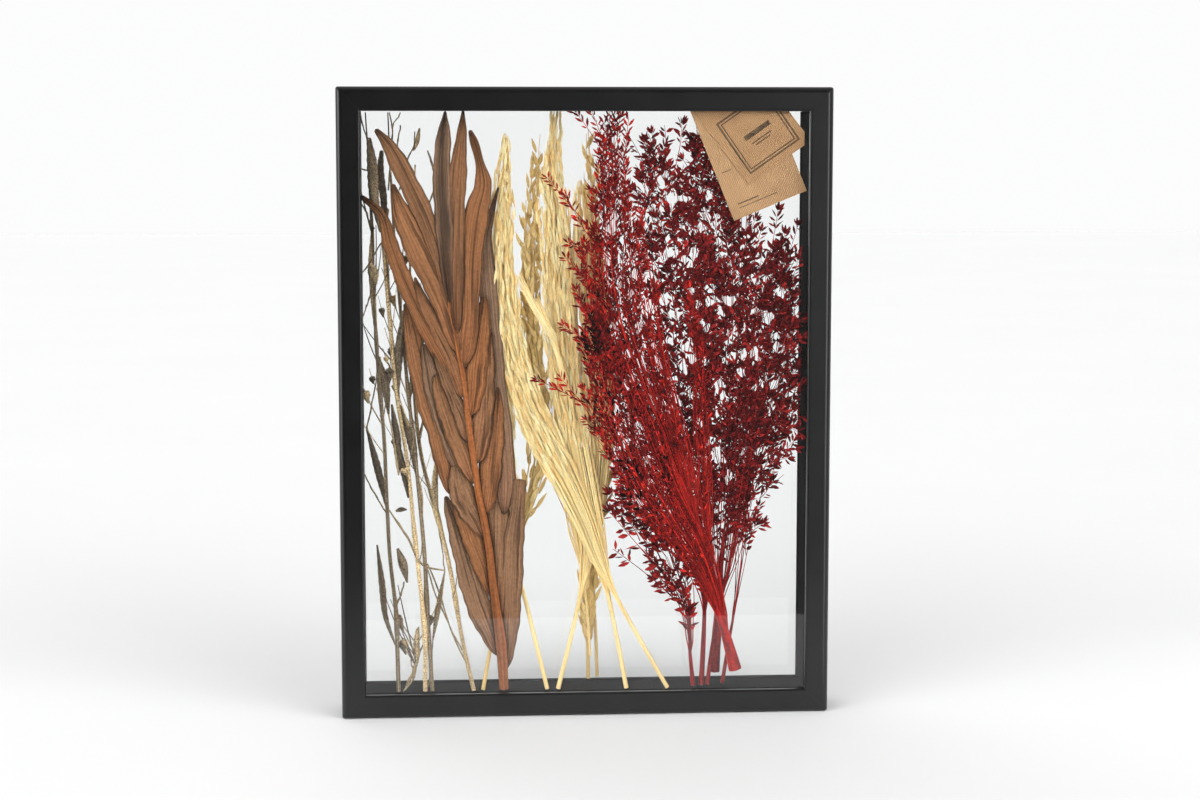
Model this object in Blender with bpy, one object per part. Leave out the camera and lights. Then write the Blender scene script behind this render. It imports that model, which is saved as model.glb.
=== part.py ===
"""Pressed flower frame: two panes of glass in a deep black moulding, with dried plants between them.

Metres, +Z up. The origin is on the table under the middle of the frame, and the front faces -Y.
"Inset" is measured inwards from the frame's outer edge, "depth" backwards from its front face.
"""

import math

import bmesh
import bpy
import numpy as np

MM = 0.001

# Driving dimensions, in millimetres.
WIDTH, HEIGHT, DEPTH = 312.0, 400.0, 45.0
GAP = 0.3  # between pieces that touch
WALL = 8.0  # thickness of the moulding's side wall
LIP_INSET = 15.2  # inner edge of the front lip
LIP_DEPTH = 3.0
OUTER_ROUND = 3.8  # outer front edge
BACK_ROUND = 1.0  # outer back edge
INNER_ROUND = 1.2  # inner front edge, which catches the light as a thin line
PANE = 2.0
SPACER_INSET = 14.7  # inner face of the spacer bars
SPACER_LENGTH = 31.8  # front to back between the panes
BEAD_INSET = 14.85
TAG_SLOT = 1.8  # room left in front of the top spacer for the paper tags
PAPER = 0.4

FRONT_PANE_DEPTH = LIP_DEPTH + GAP
SPACER_DEPTH = FRONT_PANE_DEPTH + PANE + GAP
BACK_PANE_DEPTH = SPACER_DEPTH + SPACER_LENGTH + GAP
BEAD_DEPTH = BACK_PANE_DEPTH + PANE + GAP
REBATE = WALL + GAP  # where panes, spacers and beads begin

# Leaves of the spike: depth, then x, height and half width from base to tip.
LEAF_HALF_THICKNESS = 0.4
LEAVES = {
    "leaf_top_left": (9.0, (
        (-88, 273, 1.4), (-90, 291, 3.8), (-91, 323, 4.3), (-90, 354, 3.8), (-88, 383, 0.9),
    )),
    "leaf_top_right": (9.0, (
        (-81, 253, 1.4), (-82, 276, 3.6), (-81, 314, 4.1), (-79, 354, 3.8), (-77, 383, 0.7),
    )),
    "leaf_left_1": (10.6, (
        (-90, 273, 1.3), (-95, 293, 3.8), (-104, 318, 5), (-116, 344, 5), (-131, 373, 1.6),
    )),
    "leaf_left_2": (12.0, (
        (-87, 243, 1.6), (-94, 263, 6.3), (-104, 290, 7.5), (-115, 322, 6.9), (-124, 351, 1.9),
    )),
    "leaf_left_3": (13.4, (
        (-83, 214, 1.3), (-89, 235, 3.8), (-95, 252, 4.4), (-102, 271, 4.4), (-111, 290, 1.3),
    )),
    "leaf_left_4": (14.8, (
        (-88, 226, 1.3), (-102, 247, 3.1), (-116, 275, 3.1), (-127, 309, 3.1), (-138, 329, 1.3),
    )),
    "leaf_left_5": (10.6, ((-80, 184, 1.6), (-85, 194, 3.5), (-90, 206, 3.1), (-94, 217, 1.3))),
    "leaf_left_6": (12.0, (
        (-74, 150, 1.4), (-81, 166, 5.4), (-87, 182, 6), (-94, 202, 3.8), (-100, 216, 1.3),
    )),
    "leaf_left_7": (16.2, (
        (-77, 157, 1.9), (-89, 178, 4.4), (-100, 209, 4.4), (-109, 238, 4.4), (-114, 268, 1.3),
    )),
    "leaf_left_8": (13.4, (
        (-69, 116, 1.4), (-74, 128, 4.8), (-80, 140, 6), (-85, 153, 5), (-89, 163, 1.3),
    )),
    "leaf_left_9": (14.8, ((-64, 81, 1.4), (-68, 95, 4.2), (-74, 112, 4.7), (-80, 131, 1.6))),
    "leaf_left_10": (16.2, (
        (-59, 41, 1.4), (-64, 59, 4.5), (-69, 80, 5), (-74, 102, 3.8), (-78, 119, 1.3),
    )),
    "leaf_left_11": (17.6, (
        (-63, 43, 1.6), (-72, 66, 2.8), (-79, 95, 3.1), (-83, 119, 2.8), (-88, 138, 1.3),
    )),
    "leaf_right_1": (10.6, (
        (-74, 228, 1.4), (-72, 255, 4.5), (-71, 290, 5.3), (-68, 326, 6.3), (-66, 347, 3.1),
        (-70, 367, 1.9),
    )),
    "leaf_right_2": (12.0, ((-70, 196, 1.4), (-68, 212, 4.5), (-66, 231, 5), (-64, 251, 1.9))),
    "leaf_right_3": (13.4, ((-65, 166, 1.4), (-64, 183, 4.4), (-63, 206, 4.1), (-61, 234, 1.9))),
    "leaf_right_4": (14.8, (
        (-61, 136, 1.4), (-59, 161, 5), (-57, 190, 4.1), (-59, 234, 4.1), (-62, 276, 5),
        (-63, 307, 4.1), (-56, 336, 0.9),
    )),
    "leaf_right_5": (16.2, ((-57, 98, 1.4), (-55, 122, 4.7), (-53, 151, 4.1), (-54, 183, 1.3))),
    "leaf_right_6": (17.6, (
        (-53, 65, 1.6), (-51, 89, 3.1), (-49, 125, 3.5), (-49, 157, 3.1), (-52, 179, 0.9),
    )),
    "leaf_right_7": (11.2, (
        (-50, 32, 1.6), (-47, 54, 3.1), (-45, 90, 3.8), (-44, 126, 3.8), (-41, 151, 2.5),
    )),
}

# Everything else that grew, foot to tip: x, depth, height, half width.
STEM_SIDES = 8
EXTRA_STATIONS = 3  # sections added beyond the number of key rows, to round the bends
LEAF_EXTRA_STATIONS = 2
THINNEST = 0.3  # half width that no section goes under
SPIKE_STALK_HALF_DEPTH = 2.0
SPIKE_STALK = (
    (-52, 10, 16.4, 2.8), (-55, 10, 48, 2.6), (-60, 10, 86, 2.1), (-64, 10, 119, 2),
    (-69, 10, 160, 1.9), (-76, 10, 213, 1.7), (-83, 10, 245, 1.5), (-86, 10, 268, 1.0),
)
POD_STALKS = {
    "pod_stalk_1": (
        (
            (-120, 8, 16, 1.4), (-121, 11, 64, 1.4), (-125, 14, 109, 1.4), (-128, 17, 171, 1.3),
            (-131, 20, 221, 1.3), (-134, 22, 272, 1.1), (-135, 24, 316, 1), (-138, 26, 384, 0.6),
        ),
        (
            ((-121.5, 10, 46, 0.5), (-128, 12, 64, 1.6), (-131, 13.5, 87, 2.5), (-133, 14.5, 110, 0.8)),
            ((-132, 20.7, 237, 0.6), (-134.5, 23.5, 310, 2.8), (-135, 24.5, 342, 3.1), (-136, 25.2, 368, 1.3)),
            ((-126.5, 15.4, 139, 0.6), (-134, 16.5, 171, 2.2), (-139, 17.5, 196, 0.8)),
        ),
    ),
    "pod_stalk_2": (
        (
            (-103, 8, 16, 1.4), (-104, 12, 58, 1.4), (-107, 15, 91, 1.4), (-112, 19, 146, 1.3),
            (-119, 22, 202, 1.3), (-124, 25, 253, 1.3), (-127, 28, 310, 2.2), (-128, 30, 359, 2.4),
        ),
        (
            ((-106, 14.2, 84, 0.6), (-115, 17, 119, 2.5), (-121, 18.5, 141, 0.8)),
            ((-119, 22, 205, 0.6), (-118, 23, 234, 2.5), (-115, 24, 259, 0.8)),
        ),
    ),
    "pod_stalk_3": (
        (
            (-98.6, 8, 16, 1.4), (-101, 13.5, 58, 1.4), (-103, 18, 99, 1.4), (-107, 23.5, 150, 1.3),
            (-112, 27.5, 201, 1.3), (-117, 30.5, 259, 1.1), (-121, 32.5, 316, 0.9),
            (-124, 34, 384, 0.6),
        ),
        (
            ((-107, 23.5, 150, 0.6), (-111, 25.5, 176, 2.8), (-118, 27, 198, 0.8)),
            ((-112, 27.5, 201, 0.6), (-107, 28.5, 226, 2.8), (-102, 29.3, 246, 0.9)),
        ),
    ),
    "pod_stalk_4": (
        (
            (-72, 8, 16, 1.4), (-80, 13, 52, 1.4), (-87, 20, 95, 1.4), (-95, 26, 129, 1.4),
            (-104, 31.5, 162, 1.3), (-109, 34, 214, 1.3), (-111, 35.4, 265, 1), (-107, 35.8, 351, 0.6),
        ),
        (
            ((-80, 13, 52, 0.6), (-91, 15.5, 75, 0.9), (-99, 17, 93, 0.6)),
            ((-87, 20, 95, 0.6), (-94, 19, 73, 1.9), (-97, 17, 47, 0.6)),
        ),
    ),
    "pod_stalk_5": (
        (
            (-116, 12, 16, 0.9), (-108, 14.4, 34, 1.4), (-108, 15.6, 48, 1.9), (-107, 17, 56, 0.9),
        ),
        (),
    ),
}
POD_STALK_HALF_DEPTH = 2.0
POD_HALF_DEPTH = 1.3
POD_SIDES, POD_STATIONS = 6, 6
GRASS = {
    "grass_front_1": (
        (-25, 9, 16, 1.4), (-36, 14, 63, 1.4), (-43, 18, 98, 1.6), (-49, 20.6, 137, 2.6),
        (-53, 20.6, 202, 6.3), (-54, 20.6, 278, 5.7), (-52, 20.6, 342, 3.8), (-51, 20.6, 372, 0.6),
    ),
    "grass_front_2": (
        (51, 7.6, 16, 1.4), (35, 8.3, 47, 1.5), (17, 9, 80, 1.5), (7, 11, 109, 1.8),
        (-10, 13.5, 157, 3.8), (-26, 16.5, 202, 5.5), (-38, 18.2, 253, 8.2), (-44, 18.2, 304, 6.9),
        (-47, 18.2, 329, 1.9),
    ),
    "grass_front_3": (
        (25, 8, 16, 1.5), (21, 10.5, 38, 1.5), (13, 13, 73, 1.5), (8, 15.5, 106, 1.9),
        (-4, 19, 156, 4.4), (-16, 22.6, 208, 5.7), (-23, 22.6, 265, 6.3), (-28, 22.6, 316, 2.5),
    ),
    "grass_front_4": (
        (-18, 9, 16, 1.5), (-11, 13.5, 50, 1.5), (-4, 18.5, 90, 1.9), (2, 23, 123, 3.8),
        (4, 24.6, 175, 6.3), (0, 24.6, 233, 8.8), (-6, 24.6, 284, 8.2), (-9, 24.6, 310, 1.9),
    ),
    "grass_front_5": (
        (2, 21, 68, 0.9), (-1, 23.6, 97, 2.2), (-9, 26.6, 149, 4.4), (-15, 26.6, 201, 5),
        (-14, 26.6, 265, 5.7), (-15, 26.6, 329, 5.7), (-16, 26.6, 383, 1.9),
    ),
    "grass_back_1": (
        (-64, 9, 16.5, 1.3), (-60, 18.6, 40, 1.3), (-53, 24, 71, 1.3), (-42, 28.6, 121, 1.6),
        (-30, 28.6, 155, 7.5), (-18, 28.6, 200, 7.5), (-15, 28.6, 246, 5), (-15, 28.6, 297, 1.3),
    ),
    "grass_back_2": (
        (0, 33, 16, 1.8), (2, 33, 69, 1.9), (5, 32, 108, 2.5), (11, 30.8, 154, 7.5),
        (9, 30.8, 213, 7.5), (6, 30.8, 284, 6.3), (4, 30.8, 335, 5), (0, 30.8, 376, 1.3),
    ),
    "grass_back_3": (
        (5, 36.2, 16, 1.1), (6, 36, 68, 1.3), (1, 35.5, 108, 1.9), (-15, 34, 161, 5),
        (-28, 34, 213, 6.3), (-34, 34, 264, 6.9), (-32, 34, 316, 5), (-29, 34, 354, 1.3),
    ),
}
RED_SPRAYS = {
    "red_spray_1": (
        (99, 9.5, 28, 3.1), (91, 9.5, 55, 3.1), (85, 9, 91, 3.1), (77, 8.4, 118, 6.3),
        (55, 7.8, 157, 13.8), (31, 7.8, 196, 15.1), (12, 7.8, 222, 10.1), (-16, 7.8, 214, 3.8),
        (-28, 7.8, 217, 0.9),
    ),
    "red_spray_2": (
        (75, 12.6, 118, 3.1), (67, 11.8, 150, 11.3), (48, 11.5, 208, 16.4), (28, 11.5, 266, 18.9),
        (16, 11.5, 317, 15.1), (12, 11.5, 354, 8.8), (16, 11.5, 383, 2.5),
    ),
    "red_spray_3": (
        (82, 15.8, 112, 2.5), (79, 15, 149, 8.8), (73, 14.9, 201, 13.8), (66, 14.9, 253, 15.1),
        (56, 14.9, 297, 7.5), (50, 14.9, 319, 1.3),
    ),
}
BURGUNDY_SPRAYS = {
    "burgundy_spray_1": (
        (72, 12, 16, 1.5), (67, 15.6, 58, 1.8), (62, 17.6, 84, 5.7), (49, 17.6, 110, 15.1),
        (33, 17.6, 136, 15.1), (24, 17.6, 156, 7.5), (18, 17.6, 169, 1.3),
    ),
    "burgundy_spray_2": (
        (77, 14, 16, 1.7), (76, 19, 57, 2), (72, 21.6, 96, 8.8), (62, 21.6, 155, 16.4),
        (54, 21.6, 220, 16.4), (45, 21.6, 284, 18.9), (46, 21.6, 335, 15.1), (56, 21.6, 376, 1.9),
    ),
    "burgundy_spray_3": (
        (85, 26, 22, 3.5), (83, 26, 59, 3.5), (83, 26, 95, 10.1), (87, 26, 154, 21.4),
        (88, 26, 219, 26.4), (84, 26, 284, 27.7), (78, 26, 335, 21.4), (74, 26, 377, 1.9),
    ),
    "burgundy_spray_4": (
        (89, 14, 16, 1.4), (94, 23, 56, 1.6), (100, 30.2, 92, 5.5), (104, 30.2, 147, 17.6),
        (114, 30.2, 199, 22), (121, 30.2, 251, 15.5), (128, 30.2, 290, 8.8), (134, 30.2, 307, 1.9),
    ),
    "burgundy_spray_5": (
        (95, 18, 16, 1.2), (101, 30.5, 58, 1.3), (104, 34.4, 92, 2.5), (112, 34.4, 133, 15.1),
        (120, 34.4, 173, 15.1), (124, 34.4, 218, 14.6), (118, 34.4, 270, 15.1), (114, 34.4, 319, 2.5),
    ),
}
GRASS_HALF_DEPTH = 0.85
RED_HALF_DEPTH = 1.5
CUT_STEM_HALF_DEPTH = 1.9
BURGUNDY_HALF_DEPTH = 1.8

# Paper tags: outline corners in x and height, trimmed level where the slot behind the top rail ends.
TAG_TOP = HEIGHT - REBATE - GAP
TAG_CLEARANCE = 0.1  # between the front bar plane and the nearer tag
RECTANGULAR_TAG = ((94, 316), (140, 335), (116.8, TAG_TOP), (62.9, TAG_TOP))
CLIPPED_TAG = ((103, 339), (138, 363.5), (138, 372), (123, TAG_TOP), (62, TAG_TOP))

FRAME_SHADE_ANGLE = 30  # degrees between faces that shade as one surface
STEM_SHADE_ANGLE = 60

BLACK = (0.012, 0.012, 0.013)
DARK = (0.01, 0.01, 0.01)
CLEAR = (0.9, 0.95, 0.93)
KRAFT = (0.38, 0.2, 0.09)
LEAF_BROWN = (0.27, 0.11, 0.055)
STALK_ORANGE = (0.38, 0.14, 0.04)
POD_GREY = (0.2, 0.15, 0.09)
STRAW = (0.72, 0.52, 0.25)
RED = (0.42, 0.022, 0.015)
BURGUNDY = (0.09, 0.012, 0.014)


def clear_scene():
    """Removes everything that the startup scene holds."""
    for obj in list(bpy.data.objects):
        bpy.data.objects.remove(obj, do_unlink=True)


def material(name, colour, roughness, transmission=0.0):
    """A plain Principled finish."""
    made = bpy.data.materials.new(name)
    made.use_nodes = True
    shader = made.node_tree.nodes["Principled BSDF"]
    shader.inputs["Base Color"].default_value = (*colour, 1.0)
    shader.inputs["Roughness"].default_value = roughness
    shader.inputs["Metallic"].default_value = 0.0
    shader.inputs["Transmission Weight"].default_value = transmission
    return made


def add_object(name, bm, finish, parent, shade_angle=None):
    """Turns a bmesh into a named object under the parent, faces outwards."""
    bm.normal_update()
    bmesh.ops.recalc_face_normals(bm, faces=bm.faces)
    mesh = bpy.data.meshes.new(name)
    bm.to_mesh(mesh)
    bm.free()
    if shade_angle is not None:
        mesh.shade_smooth()
        mesh.set_sharp_from_angle(angle=math.radians(shade_angle))
    mesh.materials.append(finish)
    obj = bpy.data.objects.new(name, mesh)
    obj.parent = parent
    bpy.context.scene.collection.objects.link(obj)
    return obj


def arc(centre, radius, start, end, steps):
    """Points of an arc, angles in degrees."""
    angles = np.radians(np.linspace(start, end, steps + 1))
    return [(centre[0] + radius * math.cos(a), centre[1] + radius * math.sin(a)) for a in angles]


def rail_profile():
    """Section of the moulding as (inset, depth): a side wall with a thin lip across the front."""
    outline = arc((OUTER_ROUND, OUTER_ROUND), OUTER_ROUND, 180, 270, 5)
    outline += arc((LIP_INSET - INNER_ROUND, INNER_ROUND), INNER_ROUND, 270, 360, 2)
    outline += [(LIP_INSET, LIP_DEPTH), (WALL, LIP_DEPTH), (WALL, DEPTH)]
    outline += arc((BACK_ROUND, DEPTH - BACK_ROUND), BACK_ROUND, 90, 180, 2)
    return outline


def rail(name, side, finish, parent):
    """One mitred length of moulding on the named side: the profile extruded, its ends sheared to 45 degrees."""
    across = side in ("left", "right")
    half = (HEIGHT if across else WIDTH) / 2
    back_off = GAP / math.sqrt(2)
    bm = bmesh.new()
    first = [bm.verts.new((inset - half + back_off, inset, depth)) for inset, depth in rail_profile()]
    section = bm.faces.new(first)
    grown = bmesh.ops.extrude_face_region(bm, geom=[section])
    for vert in (v for v in grown["geom"] if isinstance(v, bmesh.types.BMVert)):
        vert.co.x = half - vert.co.y - back_off
    for vert in bm.verts:
        along, inset, depth = vert.co
        if across:
            x = (inset - WIDTH / 2) if side == "left" else (WIDTH / 2 - inset)
            z = HEIGHT / 2 + along
        else:
            x = along
            z = inset if side == "bottom" else HEIGHT - inset
        vert.co = (x * MM, (depth - DEPTH / 2) * MM, z * MM)
    return add_object(name, bm, finish, parent, FRAME_SHADE_ANGLE)


def block(name, low, high, finish, parent):
    """A plain bar or pane between two corners given as (x, depth, height)."""
    bm = bmesh.new()
    bmesh.ops.create_cube(bm, size=1.0)
    for vert in bm.verts:
        x, depth, z = (low[i] if vert.co[i] < 0 else high[i] for i in range(3))
        vert.co = (x * MM, (depth - DEPTH / 2) * MM, z * MM)
    return add_object(name, bm, finish, parent)


def four_bars(prefix, inset, depths, finish, parent, top_set_back=0.0):
    """Top and bottom bars over the full width of the rebate, with the side bars standing between them."""
    outer, inner = WIDTH / 2 - REBATE, WIDTH / 2 - inset
    near, far = depths
    block(f"{prefix}_bottom", (-outer, near, REBATE), (outer, far, inset), finish, parent)
    top_low, top_high = (-outer, near + top_set_back, HEIGHT - inset), (outer, far, HEIGHT - REBATE)
    block(f"{prefix}_top", top_low, top_high, finish, parent)
    for side, (low, high) in (("left", (-outer, -inner)), ("right", (inner, outer))):
        block(f"{prefix}_{side}", (low, near, inset + GAP), (high, far, HEIGHT - inset - GAP), finish, parent)


def paper_tag(name, outline, depth, finish, parent):
    """A flat sheet of paper with the given outline, its front at the given depth."""
    bm = bmesh.new()
    corners = [bm.verts.new((x * MM, (depth - DEPTH / 2) * MM, z * MM)) for x, z in outline]
    sheet = bm.faces.new(corners)
    grown = bmesh.ops.extrude_face_region(bm, geom=[sheet])
    moved = [v for v in grown["geom"] if isinstance(v, bmesh.types.BMVert)]
    bmesh.ops.translate(bm, vec=(0, PAPER * MM, 0), verts=moved)
    return add_object(name, bm, finish, parent)


def smooth_path(keys, count):
    """Rows of x, depth, height and half width along a Catmull-Rom curve through the key rows."""
    keys = np.array(keys, float)
    steps = np.linalg.norm(np.diff(keys[:, :3], axis=0), axis=1)
    at = np.concatenate([[0], np.cumsum(steps)])
    slopes = np.gradient(keys, at, axis=0)
    wanted = np.linspace(0, at[-1], count)
    i = np.clip(np.searchsorted(at, wanted, side="right") - 1, 0, len(keys) - 2)
    span = (at[i + 1] - at[i])[:, None]
    t = (wanted - at[i])[:, None] / span
    h00, h10 = 2 * t**3 - 3 * t**2 + 1, t**3 - 2 * t**2 + t
    h01, h11 = -2 * t**3 + 3 * t**2, t**3 - t**2
    rows = h00 * keys[i] + h10 * span * slopes[i] + h01 * keys[i + 1] + h11 * span * slopes[i + 1]
    rows[:, 3] = np.maximum(rows[:, 3], THINNEST)
    return rows


def add_stem(bm, keys, stations, sides, half_depth):
    """Adds a closed body along the keys, with an elliptical section no deeper than half_depth."""
    rows = smooth_path(keys, stations)
    heading = np.gradient(rows[:, (0, 2)], axis=0)
    heading /= np.linalg.norm(heading, axis=1)[:, None]
    angles = np.linspace(0, 2 * math.pi, sides, endpoint=False)
    rings = []
    for (x, depth, z, half), (hx, hz) in zip(rows, heading):
        deep = min(half, half_depth)
        ring = [
            ((x + hz * half * math.cos(a)) * MM,
             (depth + deep * math.sin(a) - DEPTH / 2) * MM,
             (z - hx * half * math.cos(a)) * MM)
            for a in angles
        ]
        rings.append([bm.verts.new(point) for point in ring])
    for lower, upper in zip(rings, rings[1:]):
        for k in range(sides):
            after = (k + 1) % sides
            bm.faces.new((lower[k], lower[after], upper[after], upper[k]))
    bm.faces.new(rings[0])
    bm.faces.new(rings[-1])


def stem(name, keys, half_depth, finish, parent, extra=EXTRA_STATIONS, sides=STEM_SIDES):
    """One closed body along the key rows."""
    bm = bmesh.new()
    add_stem(bm, keys, len(keys) + extra, sides, half_depth)
    return add_object(name, bm, finish, parent, STEM_SHADE_ANGLE)


def leaf(name, depth, keys, finish, parent):
    """A narrow flat leaf at one depth."""
    rows = [(x, depth, z, half) for x, z, half in keys]
    return stem(name, rows, LEAF_HALF_THICKNESS, finish, parent, LEAF_EXTRA_STATIONS)


def pod_stalk(name, keys, pods, finish, parent):
    """A stalk with its side pods joined on, as one body."""
    stalk = stem(name, keys, POD_STALK_HALF_DEPTH, finish, parent, sides=POD_SIDES)
    if pods:
        bm = bmesh.new()
        for pod in pods:
            add_stem(bm, pod, POD_STATIONS, POD_SIDES, POD_HALF_DEPTH)
        helper = add_object(f"{name}_pods", bm, finish, parent)
        helper.hide_render = True
        helper.display_type = "WIRE"
        joined = stalk.modifiers.new("pods", "BOOLEAN")
        joined.operation = "UNION"
        joined.solver = "EXACT"
        joined.use_self = True
        joined.object = helper
    return stalk


def build():
    """Makes every piece, from the moulding inwards."""
    clear_scene()
    root = bpy.data.objects.new("flower_frame", None)
    bpy.context.scene.collection.objects.link(root)

    lacquer = material("black_lacquer", BLACK, 0.42)
    for side in ("top", "bottom"):
        rail(f"{side}_rail", side, lacquer, root)
    for side in ("left", "right"):
        rail(f"{side}_stile", side, lacquer, root)

    glass = material("clear_glass", CLEAR, 0.02, transmission=1.0)
    half = WIDTH / 2 - REBATE
    for name, depth in (("front_glass", FRONT_PANE_DEPTH), ("back_glass", BACK_PANE_DEPTH)):
        block(name, (-half, depth, REBATE), (half, depth + PANE, HEIGHT - REBATE), glass, root)

    inner = material("inner_black", DARK, 0.55)
    spacer_depths = (SPACER_DEPTH, SPACER_DEPTH + SPACER_LENGTH)
    four_bars("spacer", SPACER_INSET, spacer_depths, inner, root, top_set_back=TAG_SLOT)
    four_bars("back_bead", BEAD_INSET, (BEAD_DEPTH, DEPTH), inner, root)

    kraft = material("kraft_paper", KRAFT, 0.85)
    tag_depth = SPACER_DEPTH + TAG_CLEARANCE
    paper_tag("clipped_tag", CLIPPED_TAG, tag_depth, kraft, root)
    paper_tag("rectangular_tag", RECTANGULAR_TAG, tag_depth + PAPER + GAP, kraft, root)

    orange = material("stalk_orange", STALK_ORANGE, 0.6)
    stem("leaf_spike_stalk", SPIKE_STALK, SPIKE_STALK_HALF_DEPTH, orange, root)
    brown = material("leaf_brown", LEAF_BROWN, 0.65)
    for name, (depth, keys) in LEAVES.items():
        leaf(name, depth, keys, brown, root)

    grey = material("pod_grey", POD_GREY, 0.8)
    for name, (keys, pods) in POD_STALKS.items():
        pod_stalk(name, keys, pods, grey, root)

    straw = material("straw", STRAW, 0.6)
    for name, keys in GRASS.items():
        stem(name, keys, GRASS_HALF_DEPTH, straw, root)

    red = material("red_dye", RED, 0.6)
    for name, keys in RED_SPRAYS.items():
        half_depth = CUT_STEM_HALF_DEPTH if name == "red_spray_1" else RED_HALF_DEPTH
        stem(name, keys, half_depth, red, root)

    burgundy = material("burgundy_dye", BURGUNDY, 0.6)
    for name, keys in BURGUNDY_SPRAYS.items():
        stem(name, keys, BURGUNDY_HALF_DEPTH, burgundy, root)


build()
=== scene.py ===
"""Pressed flower frame: the finished look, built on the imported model.

Lengths are in millimetres until a mesh is made. A point is (across, depth, height): across from the middle
of the frame, depth backwards from its front face, height from the surface that it stands on.
"""

import logging
import math
from dataclasses import dataclass, field, replace
from enum import Enum

import bpy
import numpy as np
from mathutils import Matrix, Vector


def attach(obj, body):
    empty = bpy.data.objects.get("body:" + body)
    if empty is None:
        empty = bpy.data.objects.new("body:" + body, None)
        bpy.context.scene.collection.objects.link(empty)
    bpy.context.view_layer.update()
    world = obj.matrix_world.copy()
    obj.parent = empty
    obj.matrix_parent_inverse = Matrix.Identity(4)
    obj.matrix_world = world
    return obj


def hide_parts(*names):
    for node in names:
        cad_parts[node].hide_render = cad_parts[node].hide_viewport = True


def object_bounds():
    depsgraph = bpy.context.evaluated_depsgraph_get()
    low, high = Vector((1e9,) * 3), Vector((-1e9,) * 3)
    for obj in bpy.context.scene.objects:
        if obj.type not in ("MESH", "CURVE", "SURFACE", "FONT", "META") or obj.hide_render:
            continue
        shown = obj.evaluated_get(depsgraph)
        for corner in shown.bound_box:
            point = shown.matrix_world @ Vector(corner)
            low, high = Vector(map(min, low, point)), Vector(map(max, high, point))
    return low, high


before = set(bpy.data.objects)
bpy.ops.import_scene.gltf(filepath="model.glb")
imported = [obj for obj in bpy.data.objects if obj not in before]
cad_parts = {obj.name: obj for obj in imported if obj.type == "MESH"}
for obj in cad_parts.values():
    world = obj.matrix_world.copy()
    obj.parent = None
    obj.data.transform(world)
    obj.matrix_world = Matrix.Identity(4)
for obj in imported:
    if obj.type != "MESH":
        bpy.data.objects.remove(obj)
BOUNDS = [[float(v) for v in corner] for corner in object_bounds()]
log = logging.getLogger("flower_frame")

MM = 0.001  # one millimetre in metres
LEAF_SEED, POD_SEED, GRASS_SEED, RED_SEED, BURGUNDY_SEED = 11, 31, 51, 71, 81
GOLDEN = 0.618034  # what the golden ratio adds to 1
ORIGIN = np.array(
    [(BOUNDS[0][0] + BOUNDS[1][0]) / 2, BOUNDS[0][1], BOUNDS[0][2]]
)  # middle of the front face's bottom edge
BACKWARDS = np.array([0.0, 1.0, 0.0])

Colour = tuple[float, float, float]
Keys = tuple[tuple[float, ...], ...]
Socket = bpy.types.NodeSocket
Material = bpy.types.Material


class Side(Enum):
    """The four lengths of the moulding."""

    TOP = "top_rail"
    BOTTOM = "bottom_rail"
    LEFT = "left_stile"
    RIGHT = "right_stile"


class Slot(Enum):
    """The record's material slots."""

    LACQUER = "black_lacquer"
    KRAFT = "kraft_paper"
    STALK = "stalk_orange"
    LEAF = "leaf_brown"
    POD = "pod_grey"
    STRAW = "straw"
    RED = "red_dye"
    BURGUNDY = "burgundy_dye"


# ---------------------------------------------------------------- shapes


@dataclass
class Shape:
    """Closed surfaces as arrays: points (n, 3), quads (m, 4), triangles (k, 3), and values at the points."""

    points: np.ndarray
    quads: np.ndarray
    triangles: np.ndarray
    values: dict[str, np.ndarray] = field(default_factory=dict)

    def flipped(self) -> "Shape":
        """Turns every face over.

        Returns:
            The same surface, facing the other way.
        """
        return Shape(self.points, self.quads[:, ::-1], self.triangles[:, ::-1], self.values)


def joined(shapes: list[Shape]) -> Shape:
    """Several shapes as one.

    Args:
        shapes: the shapes, which hold the same named values.

    Returns:
        One shape whose faces count on from one shape to the next.
    """
    starts = np.cumsum([0] + [len(s.points) for s in shapes[:-1]])
    return Shape(
        np.concatenate([s.points for s in shapes]),
        np.concatenate([s.quads + start for s, start in zip(shapes, starts)]),
        np.concatenate([s.triangles + start for s, start in zip(shapes, starts)]),
        {name: np.concatenate([s.values[name] for s in shapes]) for name in shapes[0].values},
    )


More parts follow.
